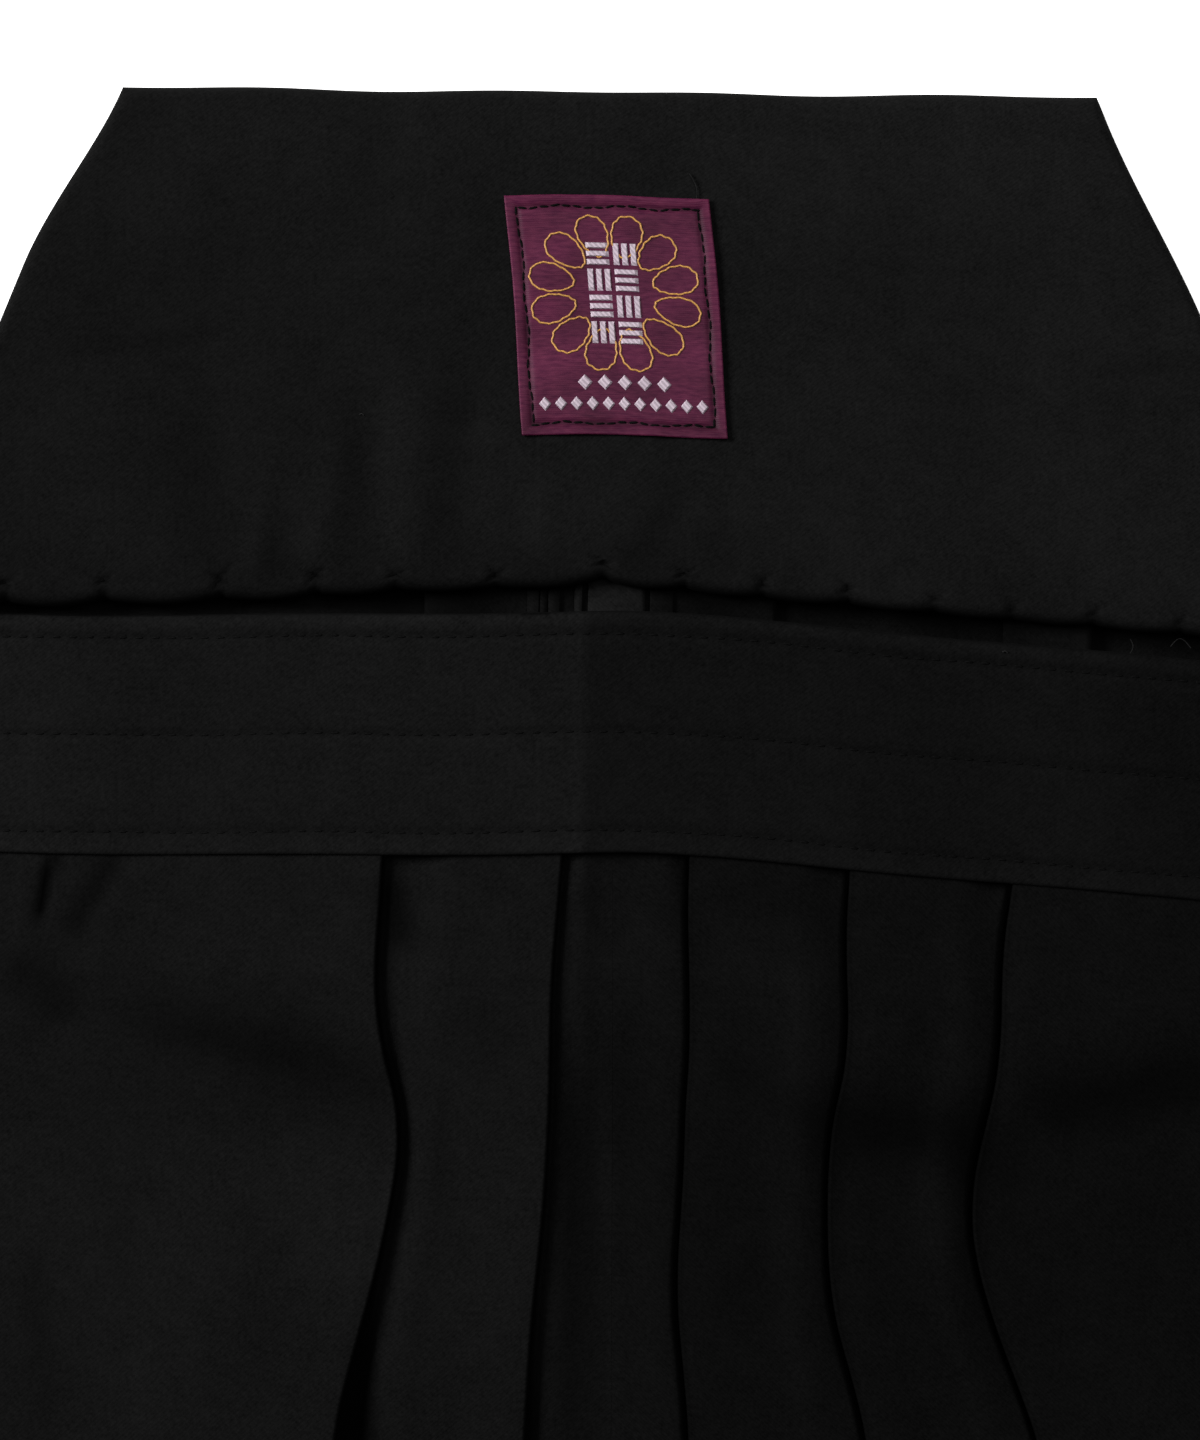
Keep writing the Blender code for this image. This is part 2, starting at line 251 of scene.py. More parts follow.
def new_material(name):
    """An empty material with a Principled shader and its output."""
    material = bpy.data.materials.new(name)
    material.use_nodes = True
    tree = material.node_tree
    tree.nodes.clear()
    shader = add(tree, "ShaderNodeBsdfPrincipled")
    add(tree, "ShaderNodeOutputMaterial", {"Surface": shader.outputs[0]})
    return material, tree, shader


# %% [markdown]
# ## Black twill
# Hakama cloth is a close polyester and wool twill, dyed black. Twill is woven so that each thread steps one
# along from the last, which draws fine diagonal ribs. Black cloth sends back very little light, so the base
# colour is almost nothing, with a trace of sheen from the fibre ends. Each sheet also carries an attribute of
# painted light and shade that scales the colour: 1 where the cloth lies open, less where shade is painted
# along creases and on the half that faces away from the lamp, near 0 as painted shade inside the folds, and
# above 1 as a painted highlight. On the board and the label it also holds some mottling.
# Real ribs are 0.4 mm apart. Here they are 0.62 mm, the finest that still shows at arm's length.
# %% Black twill
RIB = 0.62e-3


def black_twill(name, dark, light, roughness=0.92, sheen=0.002, bump=0.22):
    material, tree, shader = new_material(name)
    cut = add(tree, "ShaderNodeUVMap", uv_map="cut").outputs[0]
    turned = add(tree, "ShaderNodeMapping", {"Vector": cut, "Rotation": (0.0, 0.0, math.radians(-52.0))})
    ribs = add(tree, "ShaderNodeTexWave",
               {"Vector": turned.outputs[0], "Scale": 2.0 * math.pi / (20.0 * RIB), "Distortion": 1.2,
                "Detail": 2.0, "Detail Scale": 3.0}, wave_type="BANDS", bands_direction="X")
    fibres = add(tree, "ShaderNodeTexNoise",
                 {"Vector": cut, "Scale": 1.0 / 0.9e-3, "Detail": 3.0, "Roughness": 0.7})
    lint = add(tree, "ShaderNodeTexNoise",
               {"Vector": cut, "Scale": 1.0 / 5e-3, "Detail": 3.0, "Roughness": 0.6})
    wear = add(tree, "ShaderNodeTexNoise", {"Vector": cut, "Scale": 1.0 / 34e-3, "Detail": 2.0})
    grain = add(tree, "ShaderNodeMath", {0: ribs.outputs["Fac"], 1: 0.17}, operation="MULTIPLY")
    grain = add(tree, "ShaderNodeMath", {0: fibres.outputs["Fac"], 1: 1.5, 2: grain.outputs[0]},
                operation="MULTIPLY_ADD")
    patches = add(tree, "ShaderNodeMath", {0: wear.outputs["Fac"], 1: 0.45, 2: grain.outputs[0]},
                  operation="MULTIPLY_ADD")
    patches = add(tree, "ShaderNodeMath", {0: lint.outputs["Fac"], 1: 0.55, 2: patches.outputs[0]},
                  operation="MULTIPLY_ADD")
    shade = add(tree, "ShaderNodeMapRange", {"Value": patches.outputs[0], "From Min": 0.90, "From Max": 1.78})
    colour = add(tree, "ShaderNodeMix", {"Factor": shade.outputs[0], 6: linear(dark), 7: linear(light)},
                 data_type="RGBA")
    # Painted light and shade: the colour is scaled by each point's painted brightness.
    painted_light_and_mottle = add(tree, "ShaderNodeAttribute", attribute_name="painted_light_and_mottle")
    shaded_colour = add(tree, "ShaderNodeVectorMath", {0: colour.outputs[2], "Scale": painted_light_and_mottle.outputs["Fac"]},
                operation="SCALE")
    raised = add(tree, "ShaderNodeBump", {"Height": grain.outputs[0], "Strength": bump, "Distance": 0.12e-3})
    tree.links.new(shaded_colour.outputs[0], shader.inputs["Base Color"])
    tree.links.new(raised.outputs[0], shader.inputs["Normal"])
    shader.inputs["Roughness"].default_value = roughness
    shader.inputs["Specular IOR Level"].default_value = 0.02
    shader.inputs["Sheen Weight"].default_value = sheen
    shader.inputs["Sheen Roughness"].default_value = 0.45
    return material


leg_twill = black_twill("black_twill_legs", "#080808", "#161616")
band_twill = black_twill("black_twill_band", "#080808", "#161616")
board_twill = black_twill("black_twill_board", "#080808", "#161616")
print("ribs", round(RIB * 1000.0, 2), "mm apart")

# %% [markdown]
# ## From a grid to a piece of cloth
# Every piece of cloth starts as a flat grid with a row for each line of points. Its points are then moved to
# where the cloth lies, and each keeps its place on the flat cut in a UV map called "cut", so that the weave
# follows every fold. Solidify gives the wall.
# %% From a grid to a piece of cloth
def cloth(name, x, y, z, along, material, wall=CLOTH_WALL, painted_light_and_mottle=1.0):
    """A sheet through arrays of points in rows. along is each point's distance across the flat cut."""
    rows, points = x.shape
    shape = bmesh.new()
    bmesh.ops.create_grid(shape, x_segments=points - 1, y_segments=rows - 1, size=1.0)
    mesh = bpy.data.meshes.new(name)
    shape.to_mesh(mesh)
    shape.free()
    mesh.vertices.foreach_set("co", (np.stack((x, y, z), axis=-1) * 0.001).ravel())
    corner = np.empty(len(mesh.loops), dtype=np.int32)
    mesh.loops.foreach_get("vertex_index", corner)
    down_cut = np.cumsum(np.pad(np.hypot(np.diff(y, axis=0), np.diff(z, axis=0)), ((1, 0), (0, 0))), axis=0)
    flat = np.stack((along, -down_cut), axis=-1).reshape(-1, 2) * 0.001
    mesh.uv_layers.new(name="cut").data.foreach_set("uv", flat[corner].ravel())
    # Painted light and shade, with some mottling, are kept on each point to scale the colour.
    painted_light_values = np.clip(np.broadcast_to(painted_light_and_mottle, x.shape), 0.0, 2.0).ravel()
    mesh.attributes.new("painted_light_and_mottle", "FLOAT", "POINT").data.foreach_set("value", painted_light_values)
    mesh.shade_smooth()
    mesh.materials.append(material)
    mesh.update()
    piece = bpy.data.objects.new(name, mesh)
    bpy.context.scene.collection.objects.link(piece)
    if wall:
        solid = piece.modifiers.new("wall", "SOLIDIFY")
        solid.thickness = wall * 0.001
        solid.offset = 0.0
    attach(piece, "root")
    print(name, rows, "x", points, "points")
    return piece


def lengths(x, z):
    """Distance along each section from its first point."""
    return np.cumsum(np.pad(np.hypot(np.diff(x, axis=1), np.diff(z, axis=1)), ((0, 0), (1, 0))), axis=1)


# %% [markdown]
# ## The pleated fronts
# Each leg's front is one wide cloth laid in knife pleats whose edges face the middle. A section across it
# runs under a pleat, folds back to the pleat's edge, and folds again to go on as the next panel. The pressed
# edge stands up a little, and the panel before it swells and dives under it, which draws the dark line. The
# line is deepened with painted shade on the hidden layers, on the fold's turn and on the panel going under.
# Rows lie close together near the waist, where the folds wander, and further apart towards the hem.
# %% The pleated fronts
def front_rows(first):
    near = np.arange(first, 130.0, 1.5)
    far = 130.0 + (LENGTH - 130.0) * np.linspace(0.0, 1.0, 96) ** 1.15
    return np.concatenate((near, far))


FOLD = 0.32                     # radius of a pressed fold
PAINTED_FOLD_SHADE = 0.1                      # painted shade inside a fold


def leg_painted_light(x, y):
    """Painted light and shade: the half to the right of the middle lies against the light and is painted
    darker.
    """
    down = -y - bend(x, 0.0)
    turned = smooth((x + 11.0) / (8.0 + 26.0 * (1.0 - smooth(down / 60.0))))
    left = 0.67 + 0.06 * smooth((down - 45.0) / 20.0) - 0.06 * smooth((down - 72.0) / 30.0)
    left = left - 0.06 * np.exp(-(((x + 62.0) / 14.0) ** 2)) * smooth((down - 30.0) / 40.0)
    right = 0.445 + 0.03 * smooth((x - 40.0) / 30.0)
    right = right - 0.05 * smooth((down - 35.0) / 25.0) + 0.06 * smooth((down - 85.0) / 30.0)
    return left + (right - left) * turned + creased(x, y, CREASES, 1)


CLOSER = 0.62                   # the left leg's pleats are pressed this much closer


def front_leg(name, side, pleats):
    down = front_rows(-45.5)[:, None]
    depth = grow(PLEAT, down)
    fall = grow((11.0, 24.0), down)
    edges = [flow(DOWN, EDGES[pleat], down, 3.2) for pleat in pleats]
    gapes = [flow(GAPE_DOWN, GAPE[pleat], down, 4.0) for pleat in pleats]
    lifts = [flow(LIFT_DOWN, LIFT[pleat], down) for pleat in pleats]
    raised = LAYER * (1.0 - smooth(down / 20.0))
    tight = 1.0 if side < 0.0 else CLOSER
    pieces = []

    def level(x, covered):
        ridge = 2.0 * np.exp(-np.abs(x + 3.0) / 45.0) * (1.0 - smooth(down / 90.0))
        height = rest_height(x, down) + raised + ridge
        for number in range(covered):
            past = side * (x - edges[number]) - depth - 2.0
            width = 3.0 * fall if number + 1 == len(edges) else fall
            height = height + 2.0 * LAYER * (1.0 - smooth(past / width))
        return height

    def swell(x, number):
        """The panel rises before the next pleat's edge, and dives just short of it."""
        before = (side * (edges[number] - x) - 0.5 * gapes[number]) / tight
        rise = smooth(down / 14.0 + 0.35) * (1.7 if side > 0.0 else 1.2)
        return rise * smooth(before / 1.5) * (1.0 - smooth((before * tight - 1.5) / 11.0))

    def stretch(start, end, shares):
        return start + (end - start) * np.asarray(shares)[None, :]

    def put(x, z, shown, painted_light_and_mottle=1.0):
        pieces.append((x, z, np.broadcast_to(shown, x.shape), np.broadcast_to(painted_light_and_mottle, x.shape)))

    def light_on(x, number):
        """A panel is painted into deep shade as it goes in under the next pleat's edge."""
        before = side * (edges[number] - x) / tight
        core = 0.12 * gapes[number] + 0.5 * np.maximum(gapes[number] - 3.0, 0.0)
        return PAINTED_FOLD_SHADE + (1.0 - PAINTED_FOLD_SHADE) * smooth((before - core) / (0.25 + 0.6 * gapes[number]))

    even = np.linspace(0.0, 1.0, 10)
    crowded = 1.0 - (1.0 - np.linspace(0.0, 1.0, 26)) ** 1.8
    joined = 1.0 - smooth((down - CROTCH + 30.0) / 30.0)
    seam = seam_line(down) + side * (parting(down) - 0.5 * joined)
    x = stretch(seam, edges[0], np.insert(crowded, 1, 0.003))
    level_with_seam = smooth(side * (x - seam) / 6.0)
    held_up = 1.6 * (1.0 - smooth(down / 16.0)) * smooth(side * (edges[0] - x) / 5.0)
    lower = 0.02 * joined if side > 0.0 else 0.0
    put(x, level(x, 0) + held_up + swell(x, 0) * level_with_seam - lower, 1.0, light_on(x, 0))
    for number, edge in enumerate(edges):
        inner = edge + side * depth
        lift = lifts[number]
        x = stretch(edge, inner, even)[:, 1:]
        put(x, level(x, number), 0.0, PAINTED_FOLD_SHADE)
        turn = np.linspace(0.0, math.pi, 5)[None, 1:-1]
        rise = LAYER / 2.0 * (1.0 - np.cos(turn))
        put(inner + side * 0.7 * np.sin(turn), level(inner, number) + rise, 0.0, PAINTED_FOLD_SHADE)
        x = stretch(inner, edge + side * FOLD, even)
        s = side * (x - edge)
        put(x, level(x, number) + LAYER + (lift + LAYER - 2.0 * FOLD) * np.exp(-((s / 7.0) ** 2)), 0.0, PAINTED_FOLD_SHADE)
        tip = level(edge, number) + 2.0 * LAYER + lift - FOLD
        # Painted shade on the fold's turn, darkest where it goes under.
        rolled_edge_shade = (0.1, 0.2, 0.6 if side > 0.0 else 0.8)
        put(edge + side * FOLD * (1.0 - np.sin(turn)), tip - FOLD * np.cos(turn), 1.0, rolled_edge_shade)
        over = number + 1
        x = stretch(edge + side * FOLD, inner, np.linspace(0.0, 1.0, 22) ** 1.6)
        s = side * (x - edge)
        top = level(x, over) + lift * np.exp(-((s / 11.0) ** 2))
        last = over == len(edges)
        # On the left leg the panel is painted a little darker beside the edge, as painted shade.
        rim = 0.7 + 0.3 * smooth((s - FOLD) / 0.7) if side > 0.0 else 1.0
        put(x, top + (0.0 if last else swell(x, over)), 1.0, rim * (1.0 if last else light_on(x, over)))
        goal = side * flow(*FRONT_SIDE, down, 14.0) if last else edges[over]
        shares = np.linspace(0.0, 1.0, 44) if last else crowded
        x = stretch(inner, goal, shares)[:, 1:]
        s = side * (x - edge)
        top = level(x, over) + lift * np.exp(-((s / 11.0) ** 2))
        put(x, top + (0.0 if last else swell(x, over)), 1.0, 1.0 if last else light_on(x, over))

    x = np.concatenate([piece[0] for piece in pieces], axis=1)
    z = np.concatenate([piece[1] for piece in pieces], axis=1)
    shown = np.concatenate([piece[2] for piece in pieces], axis=1)
    along = lengths(x, z)
    y = -down - bend(x, down)
    painted_light_and_mottle = np.concatenate([piece[3] for piece in pieces], axis=1) * leg_painted_light(x, y)
    soft = smooth((down - 2.0) / 25.0) * shown
    side_soft = smooth((flow(*FRONT_SIDE, down, 14.0) - np.abs(x)) / 14.0)
    relief = (creased(x, y, CREASES) + rumple(x, y, 41.0, 0.5)) * soft * side_soft
    return cloth(name, x, y, z + 0.9 * soft * side_soft + relief, along, leg_twill, painted_light_and_mottle=painted_light_and_mottle)


front_right = front_leg("front_right_leg_cloth", -1.0, "ba")
front_left = front_leg("front_left_leg_cloth", 1.0, "cde")

# %% [markdown]
# ## The backs
# The back of each leg has one deep pleat, and the two folds meet behind. The outer layer lies on the surface,
# so it is quite flat. The tops of the inner layers show between the back board and the band, in deep shade
# that is painted into their colour, with a few turned-in ends of cloth that catch the light, which is painted
# across them too.
# %% The backs
def slot_painted_shade(x, down):
    """Painted shade on the cloth in the slot under the board: dark and uneven, painted paler towards the left
    leg.
    """
    uneven = 0.36 + 0.05 * smooth((x - 8.0) / 50.0) + 0.45 * smooth((-x - 40.0) / 22.0)
    uneven = uneven + 0.14 * np.sin(x / 5.3 + 0.5) * np.sin(x / 13.0)
    return uneven + (0.85 - uneven) * smooth(down / 10.0)


def back_leg(name, side):
    down = np.concatenate(([-58.0, -55.0, -52.0], np.arange(-49.0, 0.0, 3.5),
                           LENGTH * np.linspace(0.0, 1.0, 70) ** 1.1))[:, None]
    meet = 6.0 * (1.0 - smooth(down / CROTCH))
    depth = side * grow(BACK_PLEAT, down)
    fold = meet + side * (0.5 + parting(down))
    seam = seam_line(down) + side * parting(down)
    outer = side * np.interp(down, *BACK_SIDE)
    turn = np.linspace(0.0, math.pi, 5)[None, 1:-1]
    even = np.linspace(0.0, 1.0, 16)[None, :]
    x = np.concatenate((outer + (depth - outer) * np.linspace(0.0, 1.0, 30)[None, :],
                        depth + (fold - depth) * even[:, 1:],
                        fold - side * 0.7 * np.sin(turn),
                        fold + (depth - fold) * even,
                        depth + side * 0.7 * np.sin(turn),
                        depth + (seam - depth) * even), axis=1)
    rise = LAYER / 2.0 * (1.0 - np.cos(turn[0]))
    levels = np.concatenate((np.zeros(45), rise, np.full(16, LAYER), LAYER + rise, np.full(16, 2.0 * LAYER)))
    sewn_up = smooth((np.abs(x) - BACK_PLEAT[0] - 4.0) / 30.0) * smooth((-down - 49.0) / 9.0)
    z = CLOTH_WALL / 2.0 + levels[None, :] + 2.0 * LAYER * sewn_up
    return cloth(name, x, -down - bend(x, down), z, lengths(x, z), leg_twill, painted_light_and_mottle=slot_painted_shade(x, down))


back_right = back_leg("back_right_leg_cloth", -1.0)
back_left = back_leg("back_left_leg_cloth", 1.0)

ENDS = (
    # from x, to x, height, painted light at either side
    (-14.4, -12.2, 3.7, 0.5, 0.7), (-11.9, -10.6, 3.5, 0.5, 0.3), (-10.2, -8.0, 3.8, 0.6, 0.4),
    (-5.0, -3.7, 3.8, 0.8, 1.3), (-2.4, 8.9, 4.0, 1.15, 0.85), (9.9, 14.6, 3.6, 0.4, 0.3),
    (80.0, 97.5, 3.4, 0.3, 0.55),
)
for number, (left, right, height, dim, bright) in enumerate(ENDS):
    share = np.linspace(0.0, 1.0, 14)[None, :]
    y = np.linspace(57.5, 40.5, 12)[:, None] + 0.0 * share
    x = left + (right - left) * share + 0.02 * (y - 48.0)
    y = y - bend(x, 0.0)
    z = height + 0.25 * np.sin(math.pi * share) + 0.1 * rumple(x, y, 3.0, 1.0)
    # Painted light: each end is painted from one brightness to the other across its width.
    painted_light_and_mottle = dim + (bright - dim) * share
    cloth("back_end_%d" % number, x, y, z, x, leg_twill, painted_light_and_mottle=painted_light_and_mottle)

# %% [markdown]
# ## The band
# The band is a strip folded over the tops of the pleats and sewn through in three rows. It was folded in half
# for storage, so a soft crease stands up at the middle and the band falls away on both sides of it.
# %% The band
ROWS_OF_STITCHES = (-42.8, -23.6, -4.3)


def band_heights(across):
    """Heights of the band's inner and outer walls."""
    inner = rest_height(across, 0.0)
    left_end, right_end = EDGES["a"][1] - PLEAT[0] - 2.0, EDGES["e"][1] + PLEAT[0] + 2.0
    stacked = 1.0 - smooth(np.maximum(left_end - across, across - right_end) / 30.0)
    ridge = 2.6 * np.exp(-np.abs(across + 3.0) / 45.0)
    return inner, inner + LAYER * (2.0 + 2.0 * stacked) + ridge


def stitch_dip(down):
    """The thread pulls the cloth down along each row."""
    return sum(0.45 * np.exp(-(((down - row) / 0.9) ** 2)) for row in ROWS_OF_STITCHES)


def band_wave(across):
    """The rows and rims wander a little along the band."""
    return 0.5 * np.sin(across / 31.0 + 0.6) + 0.25 * np.sin(across / 13.0)


def band_point(across, down):
    """The band's outer face, used by the band and by what is sewn on it."""
    inner, outer = band_heights(across)
    puff = 0.15 * np.sin(math.pi * np.clip((down + 4.0) / -19.5, 0.0, 1.0)) ** 2
    face = outer - stitch_dip(down) + 0.25 * rumple(across, down * 0.6, 17.0, 1.0) + puff
    return across + 0.0 * down, -down - bend(across, 0.0) + band_wave(across) + 0.0 * down, face


def band_painted_light(across, down):
    """Painted highlight on the rims, painted shade right of the middle crease and along the rows; slow patches.
    """
    half = 0.77 - 0.19 * smooth((across + 4.4) / 3.0) - 0.05 * smooth((across - 80.0) / 30.0)
    half += 0.06 * smooth((-98.0 - across) / 16.0) - 0.10 * np.exp(-(((across + 84.0) / 14.0) ** 2))
    half -= 0.08 * np.exp(-(((across + 66.0) / 10.0) ** 2)) - 0.06 * np.exp(-(((across + 4.6) / 1.0) ** 2))
    rims = np.exp(-(((down + 1.2) / 1.0) ** 2)) + 0.9 * np.exp(-(((down + BAND_HEIGHT - 1.3) / 1.2) ** 2))
    rows = sum(np.exp(-(((down - row) / 0.7) ** 2)) for row in ROWS_OF_STITCHES)
    return half * (1.0 + 0.22 * rims - 0.14 * rows)


def band():
    across = np.linspace(-BAND_HALF, BAND_HALF, 301)[:, None]
    inner, outer = band_heights(across)
    turn = np.linspace(0.0, math.pi, 7)[None, :]
    outer_down = np.linspace(-0.6, 0.6 - BAND_HEIGHT, 72)[None, :]
    hem = 0.55
    ones = np.ones_like(across)
    under = np.linspace(-9.0, -1.0, 5)[None, :]
    wall = ones * np.linspace(1.2 - BAND_HEIGHT, -2.0, 8)[None, :]
    down = np.concatenate((ones * under, ones * (-hem + hem * np.sin(turn)), ones * outer_down,
                           ones * (0.6 - BAND_HEIGHT - 0.7 * np.sin(turn[:, 1:-1])), wall), axis=1)
    x, y, face = band_point(across, outer_down)
    face = face - 0.25 * smooth((outer_down + 2.0) / 2.0) - 0.25 * smooth((-outer_down - 45.0) / 2.0)
    low, top = face[:, :1], face[:, -1:]
    z = np.concatenate((ones * (low - 2.0 * hem - 0.0 * under), low - hem - hem * np.cos(turn), face,
                        (top + inner) / 2.0 + (top - inner) / 2.0 * np.cos(turn[:, 1:-1]), inner + 0.0 * wall),
                       axis=1)
    x = across + 0.0 * down
    y = -down - bend(across, 0.0) + band_wave(across)
    # Painted shade: the part tucked under the band is painted dark.
    painted_light_and_mottle = np.where(z < low - 0.6, 0.3, band_painted_light(x, down))
    return cloth("front_band_cloth", x.T, y.T, z.T, x.T, band_twill, painted_light_and_mottle=painted_light_and_mottle.T)


band_cloth = band()

# %% [markdown]
# ## The back board
# The koshi-ita is a stiff trapezoid with a thin pad over it, covered in the same twill. Its lower edge is
# closed by hand over the backs' pleats: each stitch pinches the cover in, and a soft wrinkle runs up from it.
# The top and underside are two copies of one grid whose rims meet, so the edge is full and round.
# %% The back board
BOARD_THICK, BOARD_TOP, BOARD_LOW = 5.0, 151.0, 53.6
BOARD_LOW_HALF, BOARD_TOP_HALF, BOARD_CORNER, BOARD_TILT = 141.5, 100.0, 5.0, 0.046
PINCHES = (
    # across, pull up, length of its wrinkle
    (-134.0, 1.6, 8.0), (-117.3, 2.6, 6.0), (-97.8, 2.4, 5.0), (-74.8, 2.0, 8.0), (-56.0, 2.2, 10.0),
    (-40.2, 1.9, 9.0), (-20.5, 1.2, 8.0), (0.8, 2.9, 10.0), (16.6, 2.3, 8.0), (32.0, 1.7, 6.0),
    (48.9, 1.9, 6.0), (65.9, 1.5, 5.0), (81.3, 1.1, 5.0), (97.4, 1.5, 5.0), (114.4, 1.4, 5.0),
    (131.0, 1.4, 6.0),
)
BOARD_CREASES = (
    # from x, y     to x, y      width  depth  painted shade
    (-106.0, 99.0, -74.0, 101.5, 1.8, 0.45, 0.10),
    (97.0, 93.5, 122.0, 97.0, 1.6, 0.40, 0.10),
    (-104.0, 112.0, -60.0, 116.0, 9.0, 0.4, 0.06),
    (-76.0, 55.0, -79.0, 88.0, 6.0, 0.6, 0.11),
    (-68.0, 54.0, -65.0, 78.0, 3.0, -0.5, -0.13),
    (-62.0, 53.0, -66.0, 76.0, 3.6, 0.6, 0.11),
    (-56.0, 56.0, -53.0, 84.0, 3.8, -0.4, -0.10),
    (-47.0, 53.0, -46.0, 92.0, 4.6, 0.7, 0.12),
    (-38.5, 55.0, -38.0, 96.0, 5.0, -0.6, -0.12),
    (-29.0, 54.0, -26.0, 96.0, 5.5, 0.7, 0.12),
    (-22.0, 58.0, -22.0, 88.0, 3.0, -0.3, -0.05),
    (-10.0, 56.0, -12.0, 74.0, 4.0, -0.5, -0.07),
    (5.0, 55.0, 14.0, 62.0, 5.0, 0.8, 0.16),
    (12.0, 62.0, 16.0, 72.0, 3.0, 0.5, 0.11),
    (9.0, 76.0, 12.0, 88.0, 2.0, -0.3, -0.06),
    (24.0, 54.0, 27.0, 64.0, 5.0, 0.4, 0.07),
    (56.0, 50.0, 60.0, 58.0, 4.0, 0.3, 0.05),
    (40.0, 130.0, 46.0, 148.0, 6.0, 0.4, 0.03),
    (-45.0, 120.0, -42.0, 148.0, 5.0, 0.4, 0.03),
    (-86.0, 132.0, -88.0, 148.0, 7.0, 0.4, 0.03),
    (84.0, 76.0, 108.0, 88.0, 8.0, 0.4, -0.03),
)


def board_low(across):
    return BOARD_LOW - np.where(across < 0.0, -0.03 * across, 0.085 * across)


def board_half(up, side=-1.0):
    """Half the width; the left half is drawn in at its top corner, the right half is a little fuller."""
    straight = BOARD_LOW_HALF + (BOARD_TOP_HALF - BOARD_LOW_HALF) * up
    right = (2.4 - 3.5 * smooth((up - 0.55) / 0.4)) * smooth(up / 0.4)
    return straight + np.where(side > 0.0, right, -BOARD_CORNER * smooth((up - 0.65) / 0.35))


def board_middle(y):
    return BOARD_THICK / 2.0 + BOARD_TILT * (BOARD_TOP - y)


def pinched(across, above):
    """How far the low edge is pulled up at each stitch, how deep the cover dips, and how much painted shade the
    pucker gets.
    """
    pull, dip, dark = np.zeros_like(across), np.zeros_like(across), np.zeros_like(across)
    for place, up, reach in PINCHES:
        aside = np.abs(across - place)
        lean = np.abs(across - place - 0.25 * above * math.sin(place))
        pull += up * (0.35 * np.exp(-aside / 1.6) + 0.4 * np.exp(-((aside / 7.0) ** 2)))
        dip += 0.4 * np.exp(-((lean / (0.8 + 0.25 * above)) ** 2)) * np.exp(-above / reach * 1.8)
        high = above - 0.4 - up
        high = high + 0.3 * (across - place) * math.sin(place * 1.7)
        arms = np.exp(-(((aside - (1.3 + 0.5 * math.sin(place * 2.3)) * np.abs(high)) / 0.55) ** 2))
        arms = arms * np.exp(-(aside ** 2 + high ** 2) / (4.0 + 1.5 * math.sin(place * 5.1)))
        arms = arms * (0.8 if place > 60.0 else 1.3)
        dip += 0.7 * arms
        dark += 0.75 * arms + 0.5 * np.exp(-((lean / 0.8) ** 2)) * np.exp(-above / 1.6)
    return pull, dip, dark


def board_top(x, y):
    """Height of the cover's upper face, before the edge rounds down."""
    above = np.maximum(y - board_low(x), 0.0)
    dip = pinched(x, above)[1]
    full = 0.9 * smooth(above / 16.0) * (1.0 - 0.5 * smooth((above - 20.0) / 30.0))
    slack = rumple(x, y, 23.0, 0.35) + rumple(x * 1.7, y * 0.5, 9.0, 0.10)
    return board_middle(y) + BOARD_THICK / 2.0 + full + slack - dip + creased(x, y, BOARD_CREASES)


# Painted light: lighter to the top and right; painted shade in creases, puckers and the low edge; some mottle.
def board_painted_light_and_mottle(x, y, up_from_edge):
    above = np.maximum(y - board_low(x), 0.0)
    light = 0.775 + 0.115 * x / 118.0 + 0.14 * smooth((y - 110.0) / 42.0) * (1.0 + 0.8 * x / 118.0)
    light += 0.06 * (rumple(x, y * 0.6, 8.0, 1.0) + rumple(x * 0.5, y, 6.0, 1.0))
    light += creased(x, y, BOARD_CREASES, 1) - 0.10 * (1.0 - smooth(above / 12.0))
    rolled_edge_shade = 0.5 + 0.5 * smooth((up_from_edge + 0.1) / 1.8)
    return light * rolled_edge_shade * (1.0 - 0.62 * np.minimum(pinched(x, above)[2], 1.0))


